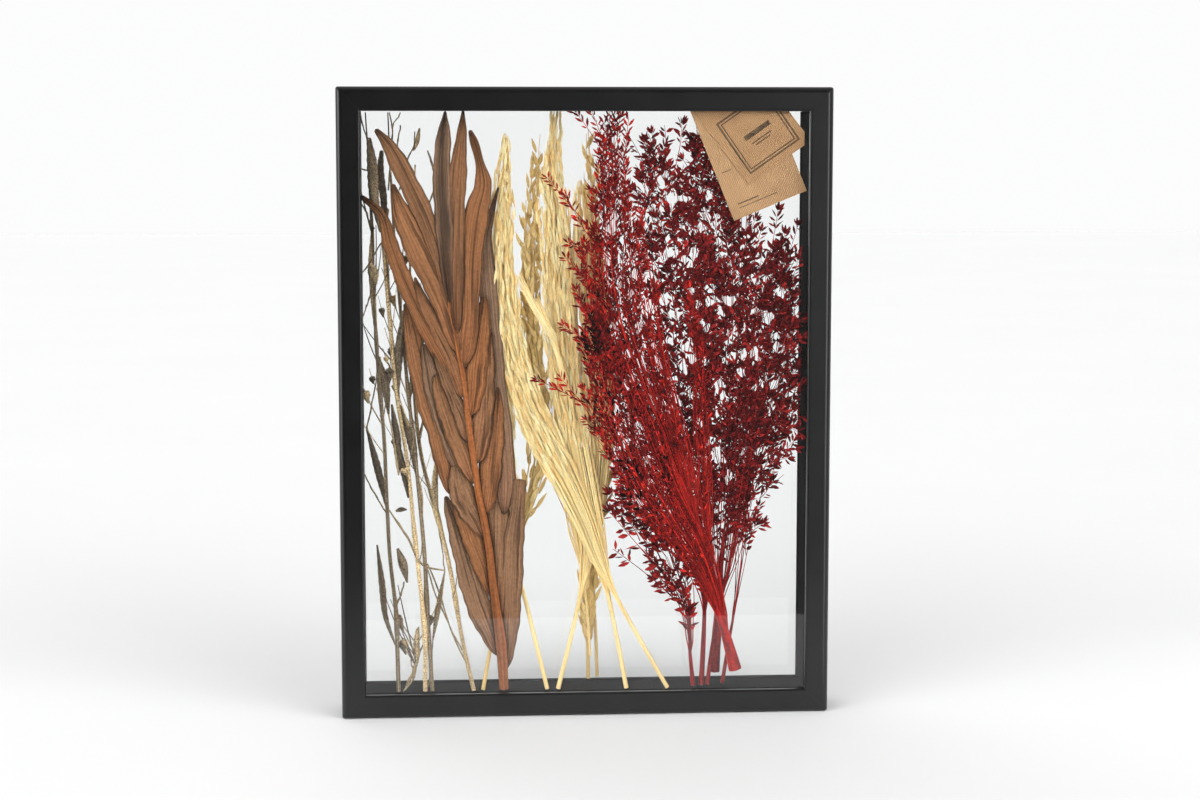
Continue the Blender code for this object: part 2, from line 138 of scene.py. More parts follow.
def loft(rings: np.ndarray, start: np.ndarray, end: np.ndarray, shade: np.ndarray) -> Shape:
    """Closed bodies through rings of points, each end drawn to a pole.

    Ring i, point j joins ring i + 1, point j + 1. The rings run anticlockwise seen from their end pole.

    Args:
        rings: (bodies, rings, around, 3) points.
        start: (bodies, 3) poles before the first rings.
        end: (bodies, 3) poles after the last rings.
        shade: (bodies,) a value from 0 to 1 that varies the finish from body to body.

    Returns:
        The bodies as one shape, with the values shade, along (0 to 1) and around (0 to 1).
    """
    bodies, count, around, _ = rings.shape
    points = np.concatenate([rings.reshape(bodies, -1, 3), start[:, None], end[:, None]], axis=1)
    i, j = np.meshgrid(np.arange(count - 1), np.arange(around), indexing="ij")
    after = (j + 1) % around
    quads = np.stack([i * around + j, i * around + after, (i + 1) * around + after, (i + 1) * around + j], -1)
    j = np.arange(around)
    after = (j + 1) % around
    first, last = count * around, count * around + 1
    base = (count - 1) * around
    caps = np.concatenate(
        [
            np.stack([np.full(around, first), after, j], -1),
            np.stack([np.full(around, last), base + j, base + after], -1),
        ]
    )
    step = np.arange(bodies)[:, None, None] * (count * around + 2)
    along = np.concatenate([np.repeat(np.linspace(0.02, 0.98, count), around), [0.0, 1.0]])
    turn = np.concatenate([np.tile(np.arange(around) / around, count), [0.0, 0.0]])
    return Shape(
        points.reshape(-1, 3),
        (quads.reshape(1, -1, 4) + step).reshape(-1, 4),
        (caps[None] + step).reshape(-1, 3),
        {
            "shade": np.repeat(shade, count * around + 2),
            "along": np.tile(along, bodies),
            "around": np.tile(turn, bodies),
        },
    )


def unit(vectors: np.ndarray) -> np.ndarray:
    """Scales vectors to length 1.

    Args:
        vectors: (..., 3) vectors.

    Returns:
        The scaled vectors.
    """
    return vectors / np.maximum(np.linalg.norm(vectors, axis=-1, keepdims=True), 1e-9)


def cross_frames(tangents: np.ndarray, roll: np.ndarray | float = 0.0) -> tuple[np.ndarray, np.ndarray]:
    """Two directions across each tangent: side lies in the plane of the panes, back points backwards.

    Args:
        tangents: (..., 3) unit tangents.
        roll: radians that the pair is turned about its tangent.

    Returns:
        (side, back), both (..., 3), with side x back along the tangent.
    """
    side = unit(np.cross(BACKWARDS, tangents))
    back = np.cross(tangents, side)
    roll = np.asarray(roll)[..., None] if np.ndim(roll) else roll
    return np.cos(roll) * side + np.sin(roll) * back, np.cos(roll) * back - np.sin(roll) * side


def tubes(
    centres: np.ndarray,
    radii: np.ndarray,
    shade: np.ndarray,
    sides: int = 5,
    flatness: float = 1.0,
    rib: float = 0.0,
) -> Shape:
    """Round or flattened rods: an ellipse carried along each centreline.

    Args:
        centres: (bodies, stations, 3) centrelines.
        radii: (bodies, stations) half widths.
        shade: (bodies,) shade of each rod.
        sides: points around each ellipse.
        flatness: half depth as a share of half width.
        rib: height of four ribs along the rod, as a share of its half width.

    Returns:
        The rods, closed at both ends.
    """
    tangents = unit(np.gradient(centres, axis=1))
    side, back = cross_frames(tangents)
    angles = np.arange(sides) * (2 * math.pi / sides)
    swell = 1 + rib * np.cos(4 * angles)
    wide, deep = (swell * np.cos(angles))[:, None], (swell * np.sin(angles))[:, None] * flatness
    offsets = wide * side[:, :, None] + deep * back[:, :, None]
    rings = centres[:, :, None] + radii[:, :, None, None] * offsets
    start = centres[:, 0] - tangents[:, 0] * radii[:, :1] * 0.3
    end = centres[:, -1] + tangents[:, -1] * radii[:, -1:] * 0.3
    return loft(rings, start, end, shade)


def lens_width(t: np.ndarray, belly: float) -> np.ndarray:
    """The outline of a pointed lens: the sine of pi times t raised to the power belly.

    Args:
        t: places from 0 (base) to 1 (tip).
        belly: under 1 moves the widest place towards the base.

    Returns:
        Half widths, 1 at the widest.
    """
    return np.sin(math.pi * t**belly)


def blades(
    base: np.ndarray,
    heading: np.ndarray,
    length: np.ndarray,
    half_width: np.ndarray,
    roll: np.ndarray,
    shade: np.ndarray,
    stations: tuple[float, ...] = (0.1, 0.35, 0.62, 0.86),
    belly: float = 0.8,
    fold: float = 0.3,
    thickness: float = 0.22,
    bend: float = 0.12,
) -> Shape:
    """Many small leaves or husks: a folded four-point section carried along a slightly bent midrib.

    The section's two edges stand forward of the midrib by fold times the half width, and the midrib has a
    front and a back point half the thickness apart, so each blade is a closed body.

    Args:
        base: (n, 3) where each blade grows from.
        heading: (n, 3) unit directions.
        length: (n,) lengths.
        half_width: (n,) largest half widths.
        roll: (n,) radians turned about the midrib.
        shade: (n,) shade of each blade.
        stations: where the sections stand, from 0 to 1.
        belly: under 1 moves the widest place towards the base.
        fold: how far the edges stand forward.
        thickness: share of the half width between the midrib's front and back.
        bend: sideways bend at the tip as a share of the length.

    Returns:
        The blades as one shape.
    """
    t = np.array(stations)
    side, back = cross_frames(heading, roll)
    spine = base[:, None] + heading[:, None] * (length[:, None] * t)[..., None]
    spine = spine - back[:, None] * (bend * length[:, None] * t**2)[..., None]
    wide = (half_width[:, None] * lens_width(t, belly))[..., None]
    edge = -fold * wide * back[:, None]
    middle = thickness * np.maximum(wide, 0.15) * back[:, None]
    across = wide * side[:, None]
    rings = np.stack([spine + across + edge, spine + middle, spine - across + edge, spine - middle], axis=2)
    tip = base + heading * length[:, None] - back * (bend * length)[:, None]
    return loft(rings, base, tip, shade)


def smooth_path(keys: Keys | np.ndarray, count: int) -> np.ndarray:
    """Rows along a smooth curve through the key rows, evenly spaced by length.

    Each stretch is a cubic whose slopes at the keys are those of the neighbouring keys (Catmull-Rom).

    Args:
        keys: rows of across, depth and height, and any further values.
        count: number of rows wanted.

    Returns:
        (count, columns) rows.
    """
    rows = np.array(keys, float)
    at = np.concatenate([[0], np.cumsum(np.linalg.norm(np.diff(rows[:, :3], axis=0), axis=1))])
    slopes = np.gradient(rows, at, axis=0)
    wanted = np.linspace(0, at[-1], count)
    i = np.clip(np.searchsorted(at, wanted, side="right") - 1, 0, len(rows) - 2)
    span = (at[i + 1] - at[i])[:, None]
    t = (wanted - at[i])[:, None] / span
    h00, h10 = 2 * t**3 - 3 * t**2 + 1, t**3 - 2 * t**2 + t
    h01, h11 = -2 * t**3 + 3 * t**2, t**3 - t**2
    return h00 * rows[i] + h10 * span * slopes[i] + h01 * rows[i + 1] + h11 * span * slopes[i + 1]


def curves(start: np.ndarray, middle: np.ndarray, end: np.ndarray, count: int) -> np.ndarray:
    """Quadratic curves: (1 - t) squared of start, 2 t (1 - t) of middle and t squared of end.

    Args:
        start: (n, 3) first points.
        middle: (n, 3) control points.
        end: (n, 3) last points.
        count: points on each.

    Returns:
        (n, count, 3) points.
    """
    t = np.linspace(0, 1, count)[None, :, None]
    return (1 - t) ** 2 * start[:, None] + 2 * t * (1 - t) * middle[:, None] + t**2 * end[:, None]


TOP = 391.4  # where everything under the top rail is cut off
ROOM_LOW = np.array([-141.2, 5.8, 15.0])  # the space between the panes and inside the bars
ROOM_HIGH = np.array([141.2, 37.2, TOP])


def inside(shape: Shape) -> Shape:
    """Holds points between the panes and inside the bars, pressed flat against any they would cross.

    Args:
        shape: the surface to hold in.

    Returns:
        The same shape, changed in place.
    """
    shape.points = np.clip(shape.points, ROOM_LOW, ROOM_HIGH)
    return shape


# ---------------------------------------------------------------- finishes


class NodeGraph:
    """A material's node tree, with short calls to add and join nodes."""

    def __init__(self, name: str) -> None:
        """Starts a material that holds one Principled shader.

        Args:
            name: the material's name.
        """
        self.material = bpy.data.materials.new(name)
        self.material.use_nodes = True
        self.tree = self.material.node_tree
        self.shader = self.tree.nodes["Principled BSDF"]

    def add(self, kind: str, inputs: dict | None = None, **settings: object) -> bpy.types.Node:
        """Adds a node.

        Args:
            kind: the node type without its ShaderNode prefix.
            inputs: values or output sockets, by the name or number of the input.
            **settings: properties of the node.

        Returns:
            The node.
        """
        node = self.tree.nodes.new(f"ShaderNode{kind}")
        for key, value in settings.items():
            setattr(node, key, value)
        for key, value in (inputs or {}).items():
            self.feed(node.inputs[key], value)
        return node

    def feed(self, socket: Socket, value: object) -> None:
        """Joins an output socket to an input, or sets the input's value.

        Args:
            socket: the input.
            value: a socket or a plain value.
        """
        if isinstance(value, Socket):
            self.tree.links.new(value, socket)
        else:
            socket.default_value = value

    def maths(self, operation: str, *values: object) -> Socket:
        """Adds a Math node.

        Args:
            operation: its operation.
            *values: one to three values or sockets.

        Returns:
            The output socket.
        """
        return self.add("Math", dict(enumerate(values)), operation=operation).outputs[0]

    def attribute(self, name: str) -> Socket:
        """Reads the value stored at the piece's points.

        Args:
            name: the name that it is stored under.

        Returns:
            The output socket.
        """
        return self.add("Attribute", attribute_name=name).outputs["Fac"]

    def vector(self, x: object = 0.0, y: object = 0.0, z: object = 0.0) -> Socket:
        """Joins three values into a vector.

        Args:
            x: a value or socket.
            y: a value or socket.
            z: a value or socket.

        Returns:
            The output socket.
        """
        return self.add("CombineXYZ", {"X": x, "Y": y, "Z": z}).outputs[0]

    def object_point(self) -> Socket:
        """Finds a point of the surface in the piece's own metres.

        Returns:
            The output socket.
        """
        return self.add("TexCoord").outputs["Object"]

    def noise(self, vector: object, scale: float, detail: float = 3.0, roughness: float = 0.55) -> Socket:
        """Adds fractal noise from 0 to 1.

        Args:
            vector: where it is read.
            scale: how fine it is.
            detail: number of octaves.
            roughness: how strong the finer octaves are.

        Returns:
            The output socket.
        """
        inputs = {"Vector": vector, "Scale": scale, "Detail": detail, "Roughness": roughness}
        return self.add("TexNoise", inputs).outputs["Fac"]

    def ramp(self, value: object, stops: tuple[tuple[float, Colour], ...]) -> Socket:
        """Adds a colour that runs through stops as a value goes from 0 to 1.

        Args:
            value: the value.
            stops: place and colour of each stop.

        Returns:
            The output socket.
        """
        node = self.add("ValToRGB", {"Fac": value})
        band = node.color_ramp.elements
        while len(band) < len(stops):
            band.new(0.5)
        for element, (place, colour) in zip(band, stops):
            element.position = place
            element.color = (*colour, 1.0)
        return node.outputs["Color"]

    def mix(self, share: object, first: object, second: object, blend: str = "MIX") -> Socket:
        """Mixes two colours.

        Args:
            share: how much of the second is taken.
            first: a colour or socket.
            second: a colour or socket.
            blend: how they are mixed.

        Returns:
            The output socket.
        """
        node = self.add("Mix", data_type="RGBA", blend_type=blend)
        for socket, value in zip((node.inputs[0], node.inputs[6], node.inputs[7]), (share, first, second)):
            self.feed(socket, (*value, 1.0) if isinstance(value, tuple) else value)
        return node.outputs[2]

    def set_colour(self, colour: Socket) -> None:
        """Joins a colour to the shader.

        Args:
            colour: the colour.
        """
        self.feed(self.shader.inputs["Base Color"], colour)

    def bump(self, height: object, strength: float, distance: float) -> None:
        """Raises the shader's surface.

        Args:
            height: a height from 0 to 1.
            strength: how much of it shows.
            distance: metres that a height of 1 stands for.
        """
        inputs = {"Height": height, "Strength": strength, "Distance": distance}
        self.feed(self.shader.inputs["Normal"], self.add("Bump", inputs).outputs[0])

    def spread(self, value: object, low: float, high: float, first: float = 0.0, last: float = 1.0) -> Socket:
        """Maps one range of values to another, held at both ends.

        Args:
            value: the value.
            low: the result at first.
            high: the result at last.
            first: where the given range starts.
            last: where it ends.

        Returns:
            The output socket.
        """
        inputs = {"Value": value, "From Min": first, "From Max": last, "To Min": low, "To Max": high}
        return self.add("MapRange", inputs).outputs[0]


@dataclass(frozen=True)
class BlackPaint:
    """Black paint over wood: an even coat with faint pores and an uneven sheen."""

    name: str
    dark: Colour
    light: Colour
    roughness: tuple[float, float]
    pore_depth: float
    shine: float = 0.5

    def material(self) -> Material:
        """Builds the paint.

        Returns:
            Its material.
        """
        graph = NodeGraph(self.name)
        cloud = graph.noise(graph.object_point(), 60.0, 4.0)
        graph.set_colour(graph.ramp(cloud, ((0.3, self.dark), (0.7, self.light))))
        sheen = graph.noise(graph.object_point(), 22.0, 3.0)
        graph.feed(graph.shader.inputs["Roughness"], graph.spread(sheen, *self.roughness))
        graph.shader.inputs["Specular IOR Level"].default_value = self.shine
        pores = graph.noise(graph.object_point(), 1400.0, 2.0)
        graph.bump(pores, 0.25, self.pore_depth)
        return graph.material


@dataclass(frozen=True)
class PictureGlass:
    """Clear polished glass, very slightly green."""

    name: str
    tint: Colour
    ior: float

    def material(self) -> Material:
        """Builds the glass.

        Returns:
            Its material.
        """
        graph = NodeGraph(self.name)
        wave = graph.noise(graph.object_point(), 3.0, 1.0)
        graph.set_colour(graph.ramp(wave, ((0.2, self.tint), (0.8, (0.995, 1.0, 0.998)))))
        graph.shader.inputs["Roughness"].default_value = 0.0
        graph.shader.inputs["IOR"].default_value = self.ior
        graph.shader.inputs["Transmission Weight"].default_value = 1.0
        return graph.material


@dataclass(frozen=True)
class DriedPlant:
    """A dried plant's skin.

    Each body takes its own shade, with mottling and streaks along it; painted shade darkens folds, edges and
    hollows.
    """

    name: str
    dark: Colour
    middle: Colour
    light: Colour
    base: Colour
    base_share: float = 0.5
    mottle_scale: float = 500.0
    mottle: float = 0.35
    roughness: float = 0.6
    streaks: float = 0.0
    streak_tone: float = 0.4
    # painted shade: dark lengthwise bands where folds would lie in shade; how finely they vary around the
    # body
    fold_shade: float = 0.0
    # painted shade: how dark the edges grow, where overlapping bodies would shade each other
    edge_shade: float = 0.0
    # painted shade in hollows from an ambient occlusion node: its strength, reach, whether only the piece
    # itself counts, and the range mapped
    cranny_shade: float = 0.0
    cranny_shade_reach: float = 0.005
    cranny_shade_local: bool = True
    cranny_shade_span: tuple[float, float] = (0.15, 0.85)
    ridge_depth: float = 0.0002
    shine: float = 0.15

    def material(self) -> Material:
        """Builds the skin.

        Returns:
            Its material.
        """
        graph = NodeGraph(self.name)
        shade, along, around = (graph.attribute(name) for name in ("shade", "along", "around"))
        colour = graph.ramp(shade, ((0.0, self.dark), (0.5, self.middle), (1.0, self.light)))
        near_base = graph.spread(along, 1.0, 0.0, 0.0, 0.35)
        colour = graph.mix(graph.maths("MULTIPLY", near_base, self.base_share), colour, self.base)
        cloud = graph.noise(graph.object_point(), self.mottle_scale, 3.0, 0.6)
        tone = graph.spread(cloud, 1.0 - self.mottle, 1.0 + self.mottle, 0.35, 0.65)
        height = cloud

        def lengthwise(across: float, down: float, change: float, detail: float, roughness: float) -> Socket:
            """Adds noise that is drawn out along each body and differs from body to body.

            Args:
                across: how fine it is around the body.
                down: how fine it is along it.
                change: how fast it changes with the shade.
                detail: number of octaves.
                roughness: how strong the finer octaves are.

            Returns:
                The output socket.
            """
            pairs = ((around, across), (along, down), (shade, change))
            place = graph.vector(*(graph.maths("MULTIPLY", value, scale) for value, scale in pairs))
            return graph.noise(place, 1.0, detail, roughness)

        if self.streaks:
            groove = lengthwise(self.streaks, 3.0, 40.0, 3.0, 0.6)
            streak = graph.spread(groove, 1.0 - self.streak_tone, 1.0 + self.streak_tone, 0.36, 0.64)
            tone = graph.maths("MULTIPLY", tone, streak)
            height = graph.maths("ADD", graph.maths("MULTIPLY", cloud, 0.3), groove)
        # Painted shade: dark lengthwise bands stand in for shade in folds.
        if self.fold_shade:
            fold = lengthwise(self.fold_shade, 1.6, 23.0, 2.0, 0.5)
            tone = graph.maths("MULTIPLY", tone, graph.spread(fold, 0.45, 1.05, 0.33, 0.43))
        # Painted shade: darker edges stand in for shade where bodies overlap.
        if self.edge_shade:
            rim = graph.maths("ABSOLUTE", graph.maths("MULTIPLY_ADD", around, 2.0, -1.0))
            tone = graph.maths("MULTIPLY", tone, graph.spread(rim, 1.0, self.edge_shade, 0.78, 0.98))
        # Painted shade: an ambient occlusion node darkens the colour in hollows and between nearby parts.
        if self.cranny_shade:
            reach = {"Distance": self.cranny_shade_reach}
            occlusion_shade = graph.add("AmbientOcclusion", reach, only_local=self.cranny_shade_local, samples=4)
            shadow = graph.spread(occlusion_shade.outputs["AO"], 1.0 - self.cranny_shade, 1.1, *self.cranny_shade_span)
            tone = graph.maths("MULTIPLY", tone, shadow)
        graph.set_colour(graph.mix(1.0, colour, graph.vector(tone, tone, tone), "MULTIPLY"))
        graph.shader.inputs["Roughness"].default_value = self.roughness
        graph.shader.inputs["Specular IOR Level"].default_value = self.shine
        graph.bump(height, 0.5, self.ridge_depth)
        return graph.material


# ---------------------------------------------------------------- pieces


def add_piece(name: str, shape: Shape, finish: Material, smooth: float = 50.0) -> None:
    """Makes a mesh object of a shape, puts it on the part in place of the solid of its name, and reports it.

    Args:
        name: the piece's name, which is also the solid's.
        shape: its surface, in millimetres.
        finish: its material.
        smooth: angle in degrees under which two faces shade as one.
    """
    mesh = bpy.data.meshes.new(name)
    counts = np.concatenate([np.full(len(shape.quads), 4), np.full(len(shape.triangles), 3)])
    corners = np.concatenate([shape.quads.reshape(-1), shape.triangles.reshape(-1)])
    mesh.vertices.add(len(shape.points))
    mesh.vertices.foreach_set("co", (shape.points * MM + ORIGIN).astype(np.float32).reshape(-1))
    mesh.loops.add(len(corners))
    mesh.loops.foreach_set("vertex_index", corners.astype(np.int32))
    mesh.polygons.add(len(counts))
    mesh.polygons.foreach_set("loop_start", np.concatenate([[0], np.cumsum(counts)[:-1]]).astype(np.int32))
    for label, values in shape.values.items():
        layer = mesh.attributes.new(label, "FLOAT", "POINT")
        layer.data.foreach_set("value", values.astype(np.float32))
    mesh.update(calc_edges=True)
    mesh.shade_smooth()
    mesh.set_sharp_from_angle(angle=math.radians(smooth))
    mesh.materials.append(finish)
    piece = bpy.data.objects.new(name, mesh)
    bpy.context.scene.collection.objects.link(piece)
    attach(piece, "root")
    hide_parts(name)
    log.info("%s: %d faces", name, len(counts))


def dress(nodes: tuple[str, ...], finish: Material) -> None:
    """Gives solids that keep their shape a better material.

    Args:
        nodes: names of the solids.
        finish: the material.
    """
    for name in nodes:
        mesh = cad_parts[name].data
        mesh.materials.clear()
        mesh.materials.append(finish)
        log.info("%s: dressed in %s", name, finish.name)


def outward(shape: Shape) -> Shape:
    """Turns a surface outwards, judged by the sign of the volume that its faces enclose.

    Args:
        shape: a closed surface.

    Returns:
        The surface, facing outwards.
    """
    faces = np.concatenate([shape.quads[:, :3], shape.quads[:, [0, 2, 3]], shape.triangles])
    return shape if np.linalg.det(shape.points[faces]).sum() > 0 else shape.flipped()


@dataclass
class Moulding:
    """The black moulding: four mitred lengths with a thin lip round the front and a deep side wall."""

    width: float = (BOUNDS[1][0] - BOUNDS[0][0]) / MM
    height: float = (BOUNDS[1][2] - BOUNDS[0][2]) / MM
    depth: float = (BOUNDS[1][1] - BOUNDS[0][1]) / MM
    wall: float = 8.0
    lip_inset: float = 15.2
    lip_depth: float = 3.0
    outer_round: float = 3.8
    inner_round: float = 1.2
    back_round: float = 1.0
    corner_round: float = 1.6
    seam: float = 0.02

    def profile(self) -> np.ndarray:
        """The section: quarter circles at three edges, with flats between them.

        Returns:
            (n, 2) rows of inset and depth.
        """

        def arc(inset: float, depth: float, radius: float, start: float, steps: int) -> np.ndarray:
            """A quarter circle.

            Args:
                inset: its centre's inset.
                depth: its centre's depth.
                radius: its radius.
                start: the angle that it starts at, in degrees.
                steps: number of points.

            Returns:
                (steps, 2) rows of inset and depth.
            """
            angle = np.radians(np.linspace(start, start + 90, steps))
            return np.stack([inset + radius * np.cos(angle), depth + radius * np.sin(angle)], -1)

        ease = 0.35
        flat = [[self.outer_round + ease, 0], [self.lip_inset - self.inner_round - ease, 0]]
        wall_in = [
            [self.lip_inset, self.lip_depth - 0.05],
            [self.lip_inset - 0.05, self.lip_depth],
            [self.wall + 0.05, self.lip_depth],
            [self.wall, self.lip_depth + 0.05],
            [self.wall, self.depth - 0.05],
            [self.wall - 0.05, self.depth],
            [self.back_round + ease, self.depth],
        ]
        side = [[0, self.depth - self.back_round - ease], [0, self.outer_round + ease]]
        return np.concatenate(
            [
                arc(self.outer_round, self.outer_round, self.outer_round, 180, 13),
                flat,
                arc(self.lip_inset - self.inner_round, self.inner_round, self.inner_round, 270, 7),
                wall_in,
                arc(self.back_round, self.depth - self.back_round, self.back_round, 90, 6),
                side,
            ]
        )

    def length(self, side: Side) -> Shape:
        """One length of moulding.

        The profile runs along a straight line, and over its last millimetres turns through 45 degrees about a
        centre inside the corner, so that the two lengths make one rounded corner between them.

        Args:
            side: which of the four.

        Returns:
            The closed surface.
        """
        inset, depth = self.profile().T
        radius = self.corner_round * (1 - inset / self.lip_inset) + 0.05
        angle = np.radians(np.linspace(225, 270, 8))[:, None]
        along = np.concatenate([inset + radius * (1 + np.cos(angle)), [inset + radius + 0.5]]) + self.seam / 2
        across = np.concatenate([inset + radius * (1 + np.sin(angle)), [inset]])
        span = self.width if side in (Side.TOP, Side.BOTTOM) else self.height
        along = np.concatenate([along, span - along[::-1]])
        across = np.concatenate([across, across[::-1]])
        if side is Side.BOTTOM:
            x, z = along - self.width / 2, across
        elif side is Side.TOP:
            x, z = along - self.width / 2, self.height - across
        elif side is Side.LEFT:
            x, z = across - self.width / 2, along
        else:
            x, z = self.width / 2 - across, along
        rings = np.stack([x, np.broadcast_to(depth, x.shape), z], -1)
        hub = np.argmin(np.abs(inset - 5) + depth)
        poles = rings[[0, -1], hub] + [0, 1.5, 0]
        return outward(loft(rings[None], poles[:1], poles[1:], np.array([0.5])))

    def build(self, finish: Material) -> None:
        """Makes the four lengths.

        Args:
            finish: their material.
        """
        for side in Side:
            add_piece(side.value, self.length(side), finish, 32.0)


@dataclass
class PaperTag:
    """A kraft paper tag that hangs behind the front pane, cut level where the slot holds it.

    Each row runs from the left outline to the right one at its height. The sheet bows backwards by the square
    of the distance below the slot, with a shallow wave across.
    """

    name: str
    left: Keys
    right: Keys
    near: float
    bow: float
    centre: tuple[float, float]
    turn: float
    thickness: float = 0.3

    def build(self, finish: Material) -> None:
        """Makes the tag.

        Args:
            finish: its material.
        """
        left, right = np.array(self.left), np.array(self.right)
        heights = np.unique(np.concatenate([np.linspace(left[0, 1] + 0.05, left[-1, 1], 40), right[1:-1, 1]]))
        row = np.linspace(0, 1, 36)
        x_left = np.interp(heights, left[:, 1], left[:, 0])[:, None]
        x_right = np.interp(heights, right[:, 1], right[:, 0])[:, None]
        x = x_left + (x_right - x_left) * row
        z = np.broadcast_to(heights[:, None], x.shape)
        drop = (left[-1, 1] - z) / (left[-1, 1] - left[0, 1])
        depth = self.near + self.bow * drop**2 + 0.25 * drop * np.sin(x * 0.11)
        front = np.stack([x, depth, z], -1)
        back = front[:, ::-1] + [0, self.thickness, 0]
        rings = np.concatenate([front, back], axis=1)[None]
        start = np.array([[left[0, 0], self.near + self.bow + self.thickness / 2, left[0, 1]]])
        shape = outward(loft(rings, start, rings[:, -1].mean(axis=1), np.array([0.5])))
        angle = math.radians(self.turn)
        dx, dz = shape.points[:, 0] - self.centre[0], shape.points[:, 2] - self.centre[1]
        shape.values["tag_u"] = dx * math.cos(angle) + dz * math.sin(angle)
        shape.values["tag_v"] = dz * math.cos(angle) - dx * math.sin(angle)
        add_piece(self.name, shape, finish, 30.0)


@dataclass(frozen=True)
class KraftPaper:
    """Ribbed brown kraft paper, with a plain printed border or a few ruled lines."""

    name: str
    brown: Colour
    pale: Colour
    ink: Colour
    border: tuple[float, ...]
    rules: tuple[tuple[float, float, float, float], ...]
    rib_pitch: float = 1.1

    def line(self, graph: NodeGraph, value: object, place: float, half: float) -> Socket:
        """Marks a printed line.

        Args:
            graph: the material's node tree.
            value: the place across the line.
            place: where the line lies.
            half: half its width.

        Returns:
            A socket that is 1 on the line and 0 beside it.
        """
        away = graph.maths("ABSOLUTE", graph.maths("SUBTRACT", value, place))
        return graph.maths("LESS_THAN", away, half)

    def material(self) -> Material:
        """Builds the paper.

        Returns:
            Its material.
        """
        graph = NodeGraph(self.name)
        u, v = graph.attribute("tag_u"), graph.attribute("tag_v")
        drawn_out = graph.vector(graph.maths("MULTIPLY", u, 0.9), graph.maths("MULTIPLY", v, 3.0))
        fibre = graph.noise(drawn_out, 1.2, 6.0, 0.7)
        cloud = graph.noise(graph.object_point(), 45.0, 4.0)
        rib = graph.maths("SINE", graph.maths("MULTIPLY", u, 2 * math.pi / self.rib_pitch))
        tone = graph.maths("ADD", graph.maths("MULTIPLY", fibre, 0.75), graph.maths("MULTIPLY", cloud, 0.25))
        tone = graph.maths("ADD", tone, graph.maths("MULTIPLY", rib, 0.07))
        paper = graph.ramp(tone, ((0.3, self.brown), (0.68, self.pale)))
        reach = graph.maths("MAXIMUM", graph.maths("ABSOLUTE", u), graph.maths("ABSOLUTE", v))
        print_share: object = 0.0
        for place, half in zip(self.border[::2], self.border[1::2]):
            print_share = graph.maths("MAXIMUM", print_share, self.line(graph, reach, place, half))
        for low, high, place, half in self.rules:
            rule = self.line(graph, v, place, half)
            span = self.line(graph, u, (low + high) / 2, (high - low) / 2)
            print_share = graph.maths("MAXIMUM", print_share, graph.maths("MULTIPLY", rule, span))
        wear = graph.spread(fibre, 0.65, 1.0)
        share = graph.maths("MULTIPLY", graph.maths("MULTIPLY", print_share, wear), 0.9)
        graph.set_colour(graph.mix(share, paper, self.ink))
        graph.shader.inputs["Roughness"].default_value = 0.85
        graph.bump(graph.maths("ADD", graph.maths("MULTIPLY", rib, 0.5), fibre), 0.8, 0.00015)
        return graph.material


@dataclass
class Leaf:
    """One long dried leaf: a thin arched strip whose fine ribs run from its base to its tip.

    Across the strip the surface is an arch or a trough plus a cosine ribbing, and along it the depth drifts
    from the stalk back to the leaf's own plane.
    """

    name: str
    plane: float
    keys: Keys
    arch: float = 0.9
    base_depth: float = 9.4
    ribs: float = 13.0
    rib_height: float = 0.11
    fine_rib_height: float = 0.07
    thickness: float = 0.32
    foot_share: float = 0.07
    stations: int = 64
    front_points: int = 44
    back_points: int = 16

    def shape(self, seed: int) -> Shape:
        """Works out the surface.

        Args:
            seed: sets the leaf's own waviness.

        Returns:
            The closed leaf.
        """
        rng = np.random.default_rng(seed)
        rows = smooth_path(tuple((x, 0.0, z, half) for x, z, half in self.keys), self.stations)
        t = np.linspace(0, 1, self.stations)[:, None]
        phase = rng.uniform(0, 2 * math.pi, 6)

        def sine(turns: float, number: int) -> np.ndarray:
            """A sine wave along the leaf.

            Args:
                turns: number of waves from base to tip.
                number: which phase it starts from.

            Returns:
                (stations, 1) values.
            """
            return np.sin(2 * math.pi * turns * t + phase[number])

        wave = sine(1.3, 0) + 0.6 * sine(3.1, 1)
        ripple = 0.05 * sine(4.3, 2) + 0.03 * sine(11, 3)
        foot = np.sqrt(1 - (1 - np.clip(t / self.foot_share, 0.05, 1)) ** 2)
        half = np.maximum(rows[:, 3:4], 0.35) * (1 + ripple) * foot
        heading = unit(np.gradient(rows[:, :3], axis=0))
        side, _ = cross_frames(heading)
        there, again = np.linspace(-1, 1, self.front_points), np.linspace(1, -1, self.back_points)
        a = np.concatenate([there, again])[None]
        front = np.concatenate([np.ones_like(there), -np.ones_like(again)])[None]
        drift = self.base_depth + (self.plane + 0.4 - self.base_depth) * (t**0.8)
        arch = self.arch * half * (a**2 - 0.35) * 0.3 + 0.3 * wave * a * np.minimum(half, 3) / 3
        fold = 0.5 * np.abs(a - 0.15 * np.sin(2 * t + phase[4])) * np.minimum(half, 4) / 4
        turn = math.pi * self.ribs * a
        coarse = self.rib_height * np.cos(turn + phase[3] + 0.6 * np.sin(3 * t))
        fine = self.fine_rib_height * np.cos(turn * 2.7 + phase[5])
        rib = (coarse + fine) * np.minimum(1, half / 2)
        points = rows[:, None, :3] + side[:, None] * (a * half)[..., None]
        points[..., 1] = drift + arch - fold - rib - self.thickness / 2 * front
        start, end = rows[:1, :3] - heading[:1] * 0.8, rows[-1:, :3] + heading[-1:] * 0.8
        start[:, 1], end[:, 1] = points[0, :, 1].mean(), points[-1, :, 1].mean()
        shape = outward(inside(loft(points[None], start, end, rng.uniform(0.0, 1.0, 1))))
        across = np.concatenate([np.tile(a[0] * 0.5 + 0.5, self.stations), [0.5, 0.5]])
        shape.values["around"] = across
        return shape


